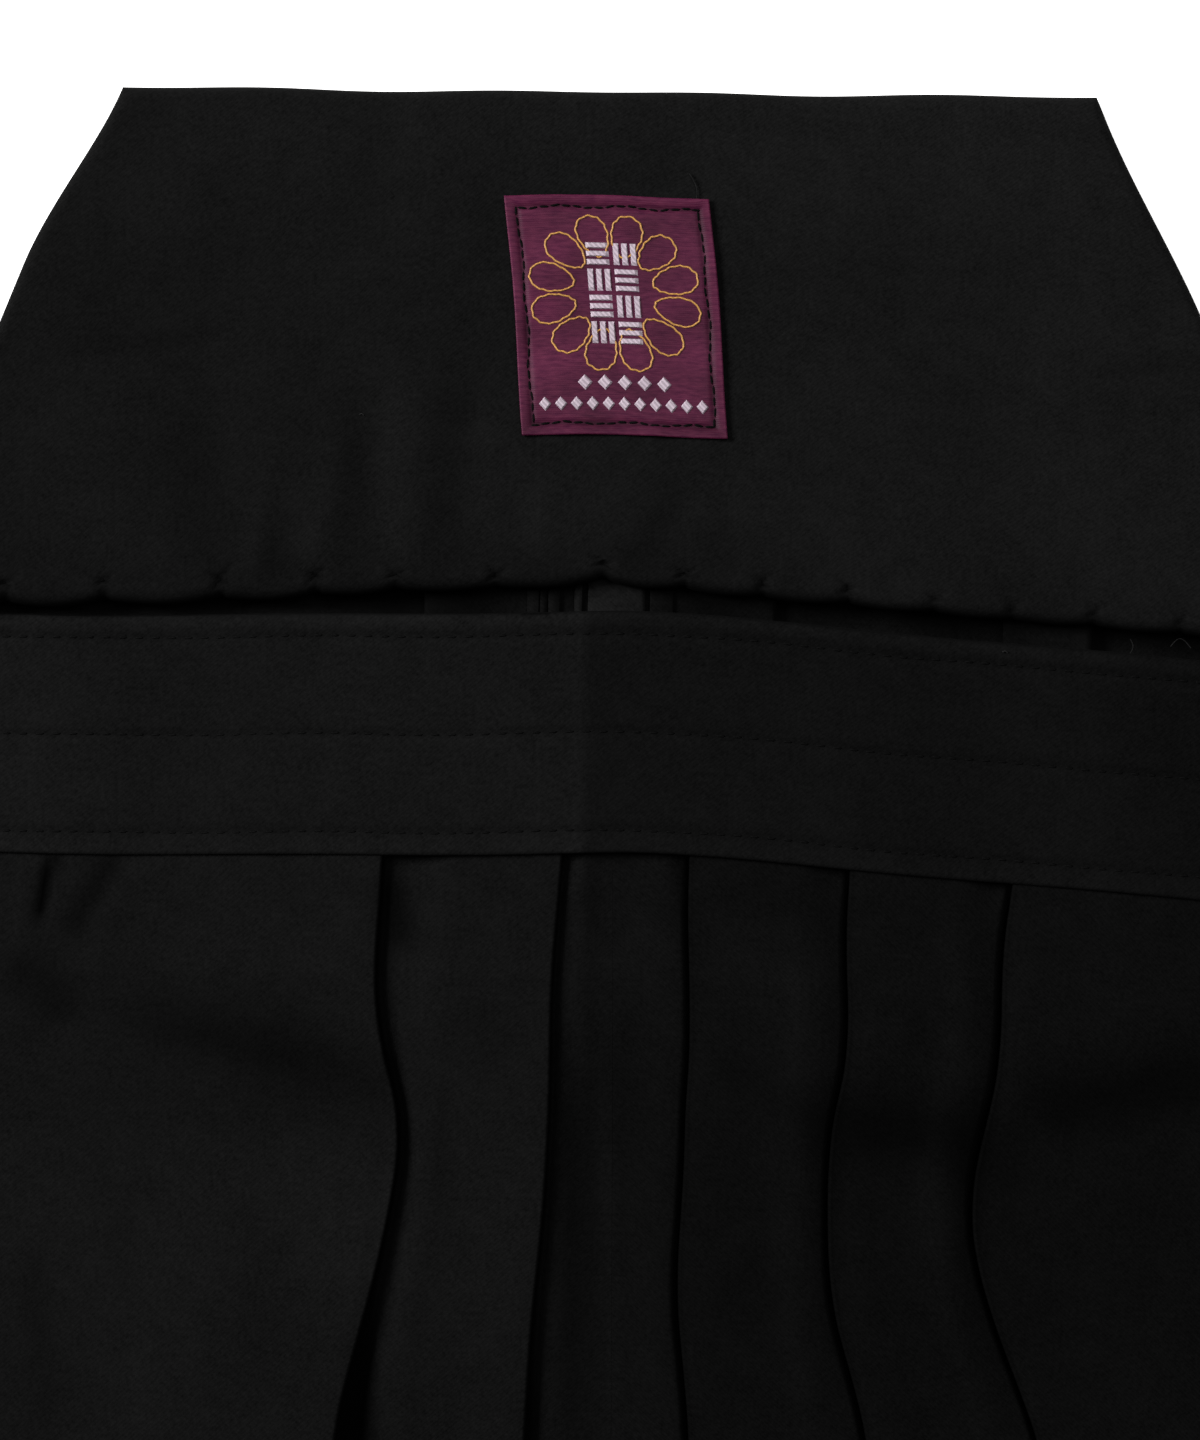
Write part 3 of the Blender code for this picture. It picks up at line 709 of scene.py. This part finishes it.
def back_board():
    up = np.concatenate((np.linspace(0.0, 0.1, 30), np.linspace(0.1, 0.93, 60)[1:],
                         np.linspace(0.93, 1.0, 16)[1:]))[:, None]
    spread = -np.cos(np.linspace(0.0, math.pi, 350))
    share = (0.1 * spread + 0.9 * np.linspace(-1.0, 1.0, 350))[None, :]
    half = board_half(up, share)
    across = share * half
    low = board_low(across)
    top = BOARD_TOP - 0.011 * across + 0.35 * np.sin(across / 9.0) * np.sin(across / 31.0)
    y = low + (top - low) * up
    pull = pinched(across, np.maximum(y - low, 0.0))[0]
    sag = 1.5 + 0.9 * smooth((-across - 25.0) / 40.0)
    y = y + pull * (1.0 - smooth((y - low) / 9.0)) - sag * (1.0 - smooth((y - low) / 12.0))
    rim = np.minimum(np.minimum(half - np.abs(across), (y - y[:1])), (y[-1:] - y))
    edge = np.sqrt(np.clip(1.0 - (1.0 - np.clip(rim / 3.0, 0.0, 1.0)) ** 2, 0.0, 1.0))
    upper = board_top(across, y)
    lower = board_middle(y) - BOARD_THICK / 2.0
    middle = lower + 1.6
    z_top = middle + (upper - middle) * edge
    z_low = middle + (lower - middle) * edge
    piece = cloth("back_board_cover", across, y, z_top, across, board_twill, wall=0.0,
                  painted_light_and_mottle=board_painted_light_and_mottle(across, y, y - y[:1]))
    shape = bmesh.new()
    shape.from_mesh(piece.data)
    lift = {vert.index: height for vert, height in zip(shape.verts, (z_low * 0.001).ravel())}
    copy = bmesh.ops.duplicate(shape, geom=shape.faces[:] + shape.edges[:] + shape.verts[:])
    for original, twin in copy["vert_map"].items():
        if original.index in lift and twin.index not in lift:
            twin.co.z = lift[original.index]
    underside = [item for item in copy["geom"] if isinstance(item, bmesh.types.BMFace)]
    bmesh.ops.reverse_faces(shape, faces=underside)
    bmesh.ops.remove_doubles(shape, verts=shape.verts[:], dist=1e-6)
    shape.to_mesh(piece.data)
    shape.free()
    piece.data.shade_smooth()
    return piece


board = back_board()
board_size = board.dimensions * 1000.0
print("board", [round(side, 1) for side in board_size], "mm")

# %% [markdown]
# ## The ties
# The band goes on into two long ties, and two shorter ones start at the board's lower corners. Each is a flat
# strip that can only turn by being folded over itself, like a paper ribbon: the fold line halves the angle
# between one run and the next, and after it the strip lies one thickness higher, with its other face up.
# %% The ties
TIE_WALL, TIE_REST, TIE_EASE = 1.7, 1.0, 42.0
TIE_LAYER = 2.4
# A front tie runs out to its first fold, down beside the legs, and back up for a stretch.
FRONT_TIE_OUT, FRONT_TIE_DOWN, FRONT_TIE_BACK, FRONT_TIE_STEP = 386.0, 790.0, 170.0, 8.0
BACK_TIE_WIDTH, BACK_TIE_OUT, BACK_TIE_DOWN, BACK_TIE_FALL = 35.0, 440.0, 430.0, 14.0
BACK_TIE_UP = 19.5              # its middle, up from the board's lower corner


def tie_stations(width, corners, start_height, slant):
    """Lines across a tie where its course changes: centre, reach to each edge, height, way out of a fold."""
    points = [np.array(corner) for corner in corners]
    ways = [(end - start) / np.linalg.norm(end - start) for start, end in zip(points, points[1:])]
    stations = []
    hand = 1.0

    def fold_line(before, after):
        normal = np.array((-before[1], before[0]))
        along = before + after
        size = np.linalg.norm(along)
        along = along / size if size > 1e-3 else normal
        return along / along.dot(normal)

    for number, way in enumerate(ways):
        normal = np.array((-way[1], way[0])) * hand
        start, end = points[number], points[number + 1]
        high = TIE_REST + TIE_LAYER
        doubled = number == 2
        if number == 0:
            for share in np.linspace(0.0, 1.0, 9):
                height = start_height + (TIE_REST - start_height) * float(smooth(share))
                reach = normal - way * slant * normal[1] * (1.0 - share)
                stations.append((start + way * TIE_EASE * share, reach, height))
        else:
            stations.append((start + way * (width / 2.0 + 4.0), normal, high))
            if not doubled:
                stations.append((start + way * (width / 2.0 + 34.0), normal, TIE_REST))
        if number + 1 < len(ways):
            line = fold_line(way, ways[number + 1]) * hand
            out = (way - ways[number + 1]) / np.linalg.norm(way - ways[number + 1])
            for turn in np.linspace(0.0, math.pi, 7):
                centre = end + out * TIE_LAYER / 2.0 * math.sin(turn)
                stations.append((centre, line, TIE_REST + TIE_LAYER / 2.0 * (1.0 - math.cos(turn))))
            hand = -hand
        else:
            stations.append((end, normal, high if doubled else TIE_REST))
    return stations


def tie_cloth(name, width, corners, start_height, slant, sewn):
    """A tie's strip, and the lines that its rows of stitches follow."""
    stations = tie_stations(width, corners, start_height, slant)
    lines = []
    for (centre, reach, height), (centre2, reach2, height2) in zip(stations, stations[1:]):
        steps = max(1, int(np.linalg.norm(centre2 - centre) / 5.0))
        for share in np.arange(steps) / steps:
            eased = float(smooth(share)) if steps > 1 else share
            lines.append((*(centre + (centre2 - centre) * share), *(reach + (reach2 - reach) * share),
                          height + (height2 - height) * eased))
    lines.append((*stations[-1][0], *stations[-1][1], stations[-1][2]))
    lines = np.array(lines)[:, :, None]
    spread = [np.linspace(-0.49, 0.49, 11) * width, [-0.5 * width, 0.5 * width]]
    grooves = [row + np.array([-1.5, -0.7, 0.0, 0.7, 1.5]) for row in sewn]
    offset = np.unique(np.concatenate(spread + grooves))[None, :]
    x = lines[:, 0] + lines[:, 2] * offset
    y = lines[:, 1] + lines[:, 3] * offset
    dip = sum(0.3 * np.exp(-(((offset - row) / 0.9) ** 2)) for row in sewn)
    z = lines[:, 4] - dip + np.abs(rumple(x, y, 37.0, 0.5)) + 0.15 * rumple(x, y, 11.0, 1.0)
    z = np.maximum(z, TIE_WALL / 2.0 + 0.02)
    piece = cloth(name, x, y, z, offset + 0.0 * x, band_twill, wall=TIE_WALL, painted_light_and_mottle=0.85)
    rounding = piece.modifiers.new("soft_edge", "BEVEL")
    rounding.width = 0.0005
    rounding.segments = 2
    rounding.limit_method = "ANGLE"
    rounding.angle_limit = math.radians(55.0)
    seams = []
    for row in sewn:
        column = int(np.argmin(np.abs(offset[0] - row)))
        seams.append(np.stack((x[:, column], y[:, column], z[:, column] + TIE_WALL / 2.0), axis=-1))
    return piece, seams


def garment_y(across, down):
    return -down - float(bend(np.array(float(across)), np.array(float(down))))


ties, tie_seams = {}, {}
for side, hand in ((-1.0, "right"), (1.0, "left")):
    inner, outer = (float(height) for height in band_heights(np.array(BAND_HALF)))
    start_x, turn_x = side * (BAND_HALF + 0.1), side * FRONT_TIE_OUT
    turn_y = garment_y(turn_x, -BAND_HEIGHT / 2.0)
    course = [(start_x, garment_y(start_x, -BAND_HEIGHT / 2.0)), (turn_x, turn_y),
              (turn_x, turn_y - FRONT_TIE_DOWN), (turn_x - side * FRONT_TIE_STEP, turn_y - FRONT_TIE_BACK)]
    name = "front_tie_" + hand
    ties[name], tie_seams[name] = tie_cloth(name + "_cloth", BAND_HEIGHT, course, (inner + outer) / 2.0,
                                            BAND_SLOPE if side > 0.0 else 0.0, (-19.2, 0.0, 19.2))
    low_y = float(board_low(np.array(BOARD_LOW_HALF * side)))
    height_share = BACK_TIE_UP / (BOARD_TOP - low_y)
    start_y = low_y + BACK_TIE_UP
    start_x = side * (float(board_half(np.array(height_share), np.array(side))) - 1.5)
    turn_x, turn_y = side * BACK_TIE_OUT, start_y - (0.0 if side < 0.0 else BACK_TIE_FALL)
    course = [(start_x, start_y), (turn_x, turn_y), (turn_x, turn_y - BACK_TIE_DOWN)]
    lean = (BOARD_LOW_HALF - BOARD_TOP_HALF) / (BOARD_TOP - low_y)
    name = "back_tie_" + hand
    ties[name], tie_seams[name] = tie_cloth(name + "_cloth", BACK_TIE_WIDTH, course,
                                            float(board_middle(start_y)), lean, (-14.0, 0.0, 14.0))

# %% [markdown]
# ## The label
# A small patch woven as satin, whose long floating threads lie side by side and shine. It is sewn on a little
# askew. The real kind carries a maker's mark; this one has a plain wreath of loops in gold thread round a
# basket weave in white, with two rows of lozenges under it.
# %% The label
LABEL_WIDTH, LABEL_HEIGHT, LABEL_SKEW, LABEL_MID = 40.5, 47.5, 3.7, (3.3, 105.6)


def on_label(s, t):
    """A point of the label: s to the right and t up from its middle. Returns x, y and the face's height."""
    s, t = np.asarray(s, dtype=float), np.asarray(t, dtype=float)
    x = LABEL_MID[0] + s - t / LABEL_HEIGHT * LABEL_SKEW + 0.25 * np.sin(t / 8.0 + 1.0) * np.abs(s) / 20.0
    y = LABEL_MID[1] + t + 0.3 * np.sin(s / 8.0 + 2.2) - 0.012 * s
    inset = np.minimum(LABEL_WIDTH / 2.0 - np.abs(s), LABEL_HEIGHT / 2.0 - np.abs(t))
    sewn = 0.35 * np.exp(-(((inset - 2.3) / 0.6) ** 2))
    curl = 0.25 * np.exp(-((inset / 1.2) ** 2))
    buckle = 0.16 * np.sin(s / 2.3 + 0.7 * np.sin(t / 3.0)) + 0.12 * np.sin(t / 3.1 + 1.3 * np.sin(s / 5.0))
    return x, y, board_top(x, y) + 0.5 - sewn + curl + buckle


def label_shade_and_tone(s, t):
    """Painted shade darkens the satin in the sewn groove; it is paler along the turned edge at the left."""
    inset = np.minimum(LABEL_WIDTH / 2.0 - np.abs(s), LABEL_HEIGHT / 2.0 - np.abs(t))
    painted_light_and_mottle = 1.0 - 0.45 * np.exp(-(((inset - 2.2) / 0.5) ** 2)) + 0.2 * np.exp(-((inset / 0.7) ** 2))
    painted_light_and_mottle += 0.06 * smooth((s + 4.0) / -14.0) - 0.16 * smooth((-t - 12.0) / 10.0)
    return painted_light_and_mottle + 0.16 * rumple(s, t, 3.2, 1.0) + 0.10 * np.sin(t / 1.7 + 0.9 * np.sin(s / 3.0))


def satin(name, dark, light):
    """Weft-faced satin: fine threads along the weft, and streaks of painted sheen where it has been pressed."""
    material, tree, shader = new_material(name)
    cut = add(tree, "ShaderNodeUVMap", uv_map="cut").outputs[0]
    threads = add(tree, "ShaderNodeTexWave",
                  {"Vector": cut, "Scale": 2.0 * math.pi / (20.0 * 0.42e-3), "Distortion": 0.6, "Detail": 1.0},
                  wave_type="BANDS", bands_direction="Y")
    stretched = add(tree, "ShaderNodeMapping", {"Vector": cut, "Scale": (420.0, 1700.0, 1.0)})
    painted_sheen_streaks = add(tree, "ShaderNodeTexNoise", {"Vector": stretched.outputs[0], "Scale": 1.0, "Detail": 2.0})
    shade = add(tree, "ShaderNodeMapRange",
                {"Value": painted_sheen_streaks.outputs["Fac"], "From Min": 0.25, "From Max": 0.75})
    colour = add(tree, "ShaderNodeMix", {"Factor": shade.outputs[0], 6: linear(dark), 7: linear(light)},
                 data_type="RGBA")
    painted_light_and_mottle = add(tree, "ShaderNodeAttribute", attribute_name="painted_light_and_mottle")
    shaded_colour = add(tree, "ShaderNodeVectorMath", {0: colour.outputs[2], "Scale": painted_light_and_mottle.outputs["Fac"]},
                operation="SCALE")
    raised = add(tree, "ShaderNodeBump",
                 {"Height": threads.outputs["Fac"], "Strength": 0.25, "Distance": 0.1e-3})
    tree.links.new(shaded_colour.outputs[0], shader.inputs["Base Color"])
    tree.links.new(raised.outputs[0], shader.inputs["Normal"])
    shader.inputs["Roughness"].default_value = 0.5
    shader.inputs["Specular IOR Level"].default_value = 0.08
    return material


# The streaks of painted sheen run between these two plums.
plum_satin = satin("plum_satin", "#330A22", "#4A1B30")
s_axis = np.linspace(-LABEL_WIDTH / 2.0, LABEL_WIDTH / 2.0, 110)[None, :]
t_axis = np.linspace(-LABEL_HEIGHT / 2.0, LABEL_HEIGHT / 2.0, 128)[:, None]
s_grid, t_grid = s_axis + 0.0 * t_axis, t_axis + 0.0 * s_axis
label = cloth("label_patch", *on_label(s_grid, t_grid), s_grid, plum_satin, wall=0.4,
              painted_light_and_mottle=label_shade_and_tone(s_grid, t_grid))

# %% [markdown]
# ## Thread
# Stitches are many and small, so one helper lays them all: a row of slim beads along a line, each turned to
# follow it. Every bead is a copy of one low sphere, drawn out to the length of a stitch. Copying its points as
# arrays is much quicker than calling the sphere operator thousands of times. Loose and laid threads are wires.
# %% Thread
def thread(name, colour, roughness=0.6, specular=0.3):
    """Twisted sewing thread: fine slanting plies."""
    material, tree, shader = new_material(name)
    place = add(tree, "ShaderNodeTexCoord").outputs["Object"]
    plies = add(tree, "ShaderNodeTexWave", {"Vector": place, "Scale": 2.0 * math.pi / (20.0 * 0.5e-3)},
                wave_type="BANDS", bands_direction="DIAGONAL")
    colours = [tuple(part * share for part in linear(colour)[:3]) + (1.0,) for share in (0.72, 1.12)]
    mixed = add(tree, "ShaderNodeMix", {"Factor": plies.outputs["Fac"], 6: colours[0], 7: colours[1]},
                data_type="RGBA")
    raised = add(tree, "ShaderNodeBump",
                 {"Height": plies.outputs["Fac"], "Strength": 0.4, "Distance": 0.1e-3})
    tree.links.new(mixed.outputs[2], shader.inputs["Base Color"])
    tree.links.new(raised.outputs[0], shader.inputs["Normal"])
    shader.inputs["Roughness"].default_value = roughness
    shader.inputs["Specular IOR Level"].default_value = specular
    return material


black_thread = thread("black_polyester_thread", "#070707", 0.7, 0.03)
dark_lint = thread("dark_lint", "#141414", 0.7, 0.05)
pale_lint = thread("pale_lint", "#1E1E1E", 0.8, 0.05)
gold_thread = thread("gold_lurex_thread", "#A87A3E", 0.45, 0.3)
white_thread = thread("white_rayon_thread", "#A3959F", 0.6, 0.2)


def shown_mesh(name, mesh, material):
    mesh.shade_smooth()
    mesh.materials.append(material)
    piece = bpy.data.objects.new(name, mesh)
    bpy.context.scene.collection.objects.link(piece)
    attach(piece, "root")
    return piece


def stitches(name, lines, pitch, size, material):
    """Beads of size (length, width, height) every pitch along each line of points, in millimetres."""
    bead = bmesh.new()
    bmesh.ops.create_uvsphere(bead, u_segments=6, v_segments=3, radius=0.5)
    form = np.array([vert.co[:] for vert in bead.verts])
    sides = [[vert.index for vert in face.verts] for face in bead.faces]
    bead.free()
    sets = []
    for line in lines:
        travelled = np.pad(np.cumsum(np.linalg.norm(np.diff(line, axis=0), axis=1)), (1, 0))
        places = np.arange(pitch * 0.5, travelled[-1], pitch)
        start, end = [np.stack([np.interp(places + shift, travelled, line[:, axis])
                                for axis in range(3)], axis=-1)
                      for shift in (-pitch * 0.3, pitch * 0.3)]
        way = (end - start) / np.linalg.norm(end - start, axis=1)[:, None]
        aside = np.cross((0.0, 0.0, 1.0), way)
        aside /= np.linalg.norm(aside, axis=1)[:, None]
        axes = [(size[0], way, 2), (size[1], aside, 0), (size[2], np.cross(way, aside), 1)]
        sets.append((start + end)[:, None, :] / 2.0 + sum(
            length * form[None, :, column, None] * axis[:, None, :] for length, axis, column in axes))
    points = np.concatenate(sets)
    faces = [[corner + len(form) * number for corner in side]
             for number in range(len(points)) for side in sides]
    mesh = bpy.data.meshes.new(name)
    mesh.from_pydata(points.reshape(-1, 3) * 0.001, [], faces)
    print(name, len(points), "stitches")
    return shown_mesh(name, mesh, material)


def wires(name, lines, radius, material, closed=False):
    """Round threads along lines of points, in millimetres."""
    curve = bpy.data.curves.new(name, "CURVE")
    curve.dimensions = "3D"
    curve.bevel_depth = radius * 0.001
    curve.bevel_resolution = 1
    curve.use_fill_caps = True
    for line in lines:
        spline = curve.splines.new("POLY")
        spline.points.add(len(line) - 1)
        spline.points.foreach_set("co", np.pad(line * 0.001, ((0, 0), (0, 1))).ravel())
        spline.use_cyclic_u = closed
    holder = bpy.data.objects.new(name + "_curve", curve)
    bpy.context.scene.collection.objects.link(holder)
    bpy.context.view_layer.update()
    mesh = bpy.data.meshes.new_from_object(holder.evaluated_get(bpy.context.evaluated_depsgraph_get()))
    bpy.data.objects.remove(holder)
    return shown_mesh(name, mesh, material)


# %% [markdown]
# ## Sewing
# The band's three rows are run at about three stitches to the centimetre and go on along the ties. The label
# is sewn round its edge with longer stitches that nearly touch. Each bead sits in the groove that its row pulls
# into the cloth. A few loose ends are left where the seams were finished.
# %% Sewing
places = np.linspace(-BAND_HALF + 1.0, BAND_HALF - 1.0, 300)
band_rows = []
for row in ROWS_OF_STITCHES:
    x, y, z = band_point(places, row + 0.15 * np.sin(places / 7.0))
    band_rows.append(np.stack((x, y, z + CLOTH_WALL / 2.0), axis=-1))
band_sewing = stitches("band_sewing", band_rows, 3.3, (2.1, 0.6, 0.5), black_thread)
tie_sewing = {name: stitches(name + "_sewing", seams, 3.3, (2.1, 0.6, 0.5), black_thread)
              for name, seams in tie_seams.items()}

edge = np.linspace(-1.0, 1.0, 80)
corner_s, corner_t = LABEL_WIDTH / 2.0 - 2.3, LABEL_HEIGHT / 2.0 - 2.3
label_lines = []
for number, (s_line, t_line) in enumerate((
        (edge * corner_s, 0.0 * edge + corner_t), (0.0 * edge + corner_s, -edge * corner_t),
        (-edge * corner_s, 0.0 * edge - corner_t), (0.0 * edge - corner_s, edge * corner_t))):
    wander = 0.28 * np.sin(edge * 9.0 + number) + 0.12 * np.sin(edge * 31.0)
    upright = number % 2
    label_lines.append(np.stack(on_label(s_line + wander * upright, t_line + wander * (1 - upright)), axis=-1)
                       + (0.0, 0.0, 0.22))
label_sewing = stitches("label_sewing", label_lines, 2.2, (2.1, 0.62, 0.4), black_thread)

turn = np.linspace(0.0, 1.0, 14)
loose_ends = wires("loose_ends", [
    np.stack((17.6 + 1.3 * turn + 0.8 * np.sin(3.0 * turn), 134.0 - 5.4 * turn,
              board_top(17.6 + turn, 134.0 - 5.4 * turn) + 0.5), axis=-1),
    np.stack((105.0 + 0.6 * np.sin(5.0 * turn), 42.0 - 4.5 * turn, 5.2 + 0.0 * turn), axis=-1),
    np.stack((113.0 + 4.0 * turn, 40.5 + 1.6 * np.sin(3.3 * turn), 5.2 + 0.0 * turn), axis=-1),
], 0.12, dark_lint)
lint = wires("lint", [
    np.array(((x, y, z), (x + 0.5, y + 0.25, z + 0.1), (x + length, y - 0.1, z))) for x, y, z, length in (
        (-47.5, 86.2, float(board_top(np.array(-47.5), np.array(86.2))) + 0.1, 0.9),
        (79.3, 39.4, float(band_heights(np.array(79.3))[1]) + 0.5, 1.0))], 0.12, pale_lint)

# %% [markdown]
# ## Embroidery
# The gold wreath is laid thread: twelve plain loops round the middle. The white work is satin stitch over a
# little padding, so each block is a low frustum: bars that cross like basket weave, and rows of lozenges.
# %% Embroidery
MOTIF_MID = (-0.2, 4.3)
around = np.linspace(0.0, 2.0 * math.pi, 61)[:-1]
loops = []
for number in range(12):
    angle = (number + 0.5) * math.pi / 6.0
    out = 12.6 + 4.5 * np.cos(around) + 0.12 * np.sin(11.0 * around + number)
    aside = 2.95 * np.sin(around) * (1.0 + 0.22 * np.cos(around)) + 0.1 * np.sin(13.0 * around)
    s_line = MOTIF_MID[0] + out * math.cos(angle) - aside * math.sin(angle)
    t_line = MOTIF_MID[1] + (out * math.sin(angle) + aside * math.cos(angle)) * 0.92
    loops.append(np.stack(on_label(s_line, t_line), axis=-1) + (0.0, 0.0, 0.25))
gold_wreath = wires("gold_wreath", loops, 0.2, gold_thread, closed=True)

shape = bmesh.new()


def block(s, t, half_width, half_height, turned):
    """One block of satin stitch: a frustum with four sides, set square or on its corner."""
    size = 1.0 if turned else math.sqrt(2.0)
    scaled = Matrix.Diagonal((half_width * size, half_height * size, 0.4, 1.0))
    place = Matrix.Translation((s, t, 0.15)) @ scaled
    if not turned:
        place = place @ Matrix.Rotation(math.pi / 4.0, 4, "Z")
    bmesh.ops.create_cone(shape, cap_ends=True, segments=4, radius1=1.0, radius2=0.7, depth=1.0, matrix=place)


for row in range(4):
    for column in range(2):
        s, t = MOTIF_MID[0] + (column - 0.5) * 5.4, MOTIF_MID[1] + (1.5 - row) * 5.2
        for bar in (-1, 0, 1):
            if (row + column) % 2:
                block(s + bar * 1.7, t, 0.6, 2.25, False)
            else:
                block(s, t + bar * 1.65, 2.35, 0.58, False)
for number in range(5):
    block((number - 2) * 3.9 + 0.6, -13.4, 1.5, 1.6, True)
for number in range(11):
    block((number - 5) * 3.1 + 0.2, -17.6, 1.25, 1.45, True)
drawn = np.array([vert.co[:] for vert in shape.verts])
laid = np.stack(on_label(drawn[:, 0], drawn[:, 1]), axis=-1) + np.stack(
    (0.0 * drawn[:, 2], 0.0 * drawn[:, 2], drawn[:, 2] + 0.2), axis=-1)
mesh = bpy.data.meshes.new("white_work")
shape.to_mesh(mesh)
shape.free()
mesh.vertices.foreach_set("co", (laid * 0.001).ravel())
white_work = shown_mesh("white_work", mesh, white_thread)
mesh.set_sharp_from_angle(angle=math.radians(20.0))

# %% [markdown]
# ## Camera, light and floor
# The garment is seen from straight above, close to, so that the board, the band and the tops of the pleats
# fill the frame. One broad lamp stands low on the left: it lights every slope that faces it and leaves the
# slopes that fall to the right darker. A large soft lamp above fills in.
# %% Camera, light and floor
def lamp(name, place, target, size, power):
    light = bpy.data.lights.new(name, "AREA")
    light.shape = "DISK"
    light.size = size
    light.energy = power
    holder = bpy.data.objects.new(name, light)
    holder.location = place
    holder.rotation_euler = (Vector(target) - Vector(place)).to_track_quat("-Z", "Y").to_euler()
    bpy.context.scene.collection.objects.link(holder)


lamp("side_softbox", (-1.5, 0.6, 1.15), (0.0, 0.0, 0.0), 0.9, 66.0)
lamp("overhead_softbox", (0.5, 0.7, 2.1), (0.0, 0.05, 0.0), 1.5, 26.0)

world = bpy.data.worlds.new("studio")
world.use_nodes = True
world.node_tree.nodes["Background"].inputs["Color"].default_value = (1.0, 1.0, 1.0, 1.0)
world.node_tree.nodes["Background"].inputs["Strength"].default_value = 0.12
bpy.context.scene.world = world
bpy.context.scene.view_settings.view_transform = "Standard"

shape = bmesh.new()
bmesh.ops.create_grid(shape, x_segments=4, y_segments=4, size=4.0)
floor_mesh = bpy.data.meshes.new("floor")
shape.to_mesh(floor_mesh)
shape.free()
floor = bpy.data.objects.new("floor", floor_mesh)
bpy.context.scene.collection.objects.link(floor)
paper, tree, shader = new_material("white_paper_sweep")
shader.inputs["Base Color"].default_value = linear("#F4F4F2")
shader.inputs["Roughness"].default_value = 0.9
# The paper lies on a lit table, which takes the shadows away.
shader.inputs["Emission Color"].default_value = linear("#FFFFFF")
shader.inputs["Emission Strength"].default_value = 0.65
floor_mesh.materials.append(paper)

VIEW_HEIGHT = 284.0             # what the frame takes in from top to bottom
VIEW_MIDDLE = (0.0, 26.0)
CLOTH_TOP = 8.0                 # about how high the cloth lies, where the frame is measured
lens = bpy.data.cameras.new("camera")
lens.lens = 85.0
lens.sensor_width = 36.0
camera = bpy.data.objects.new("camera", lens)
away = VIEW_HEIGHT * lens.lens / lens.sensor_width + CLOTH_TOP
camera.location = (VIEW_MIDDLE[0] * 0.001, VIEW_MIDDLE[1] * 0.001, away * 0.001)
bpy.context.scene.collection.objects.link(camera)
bpy.context.scene.camera = camera

# %% [markdown]
# ## Standing in for the construction
# Each finished piece takes its plain sheet's place. The sheets stay in the model for their weight and contact.
# %% Standing in for the construction
stand_ins = {"front_right_leg": front_right, "front_left_leg": front_left, "back_right_leg": back_right,
             "back_left_leg": back_left, "front_band": band_cloth, "back_board": board, "label": label, **ties}
for node, piece in stand_ins.items():
    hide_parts(node)
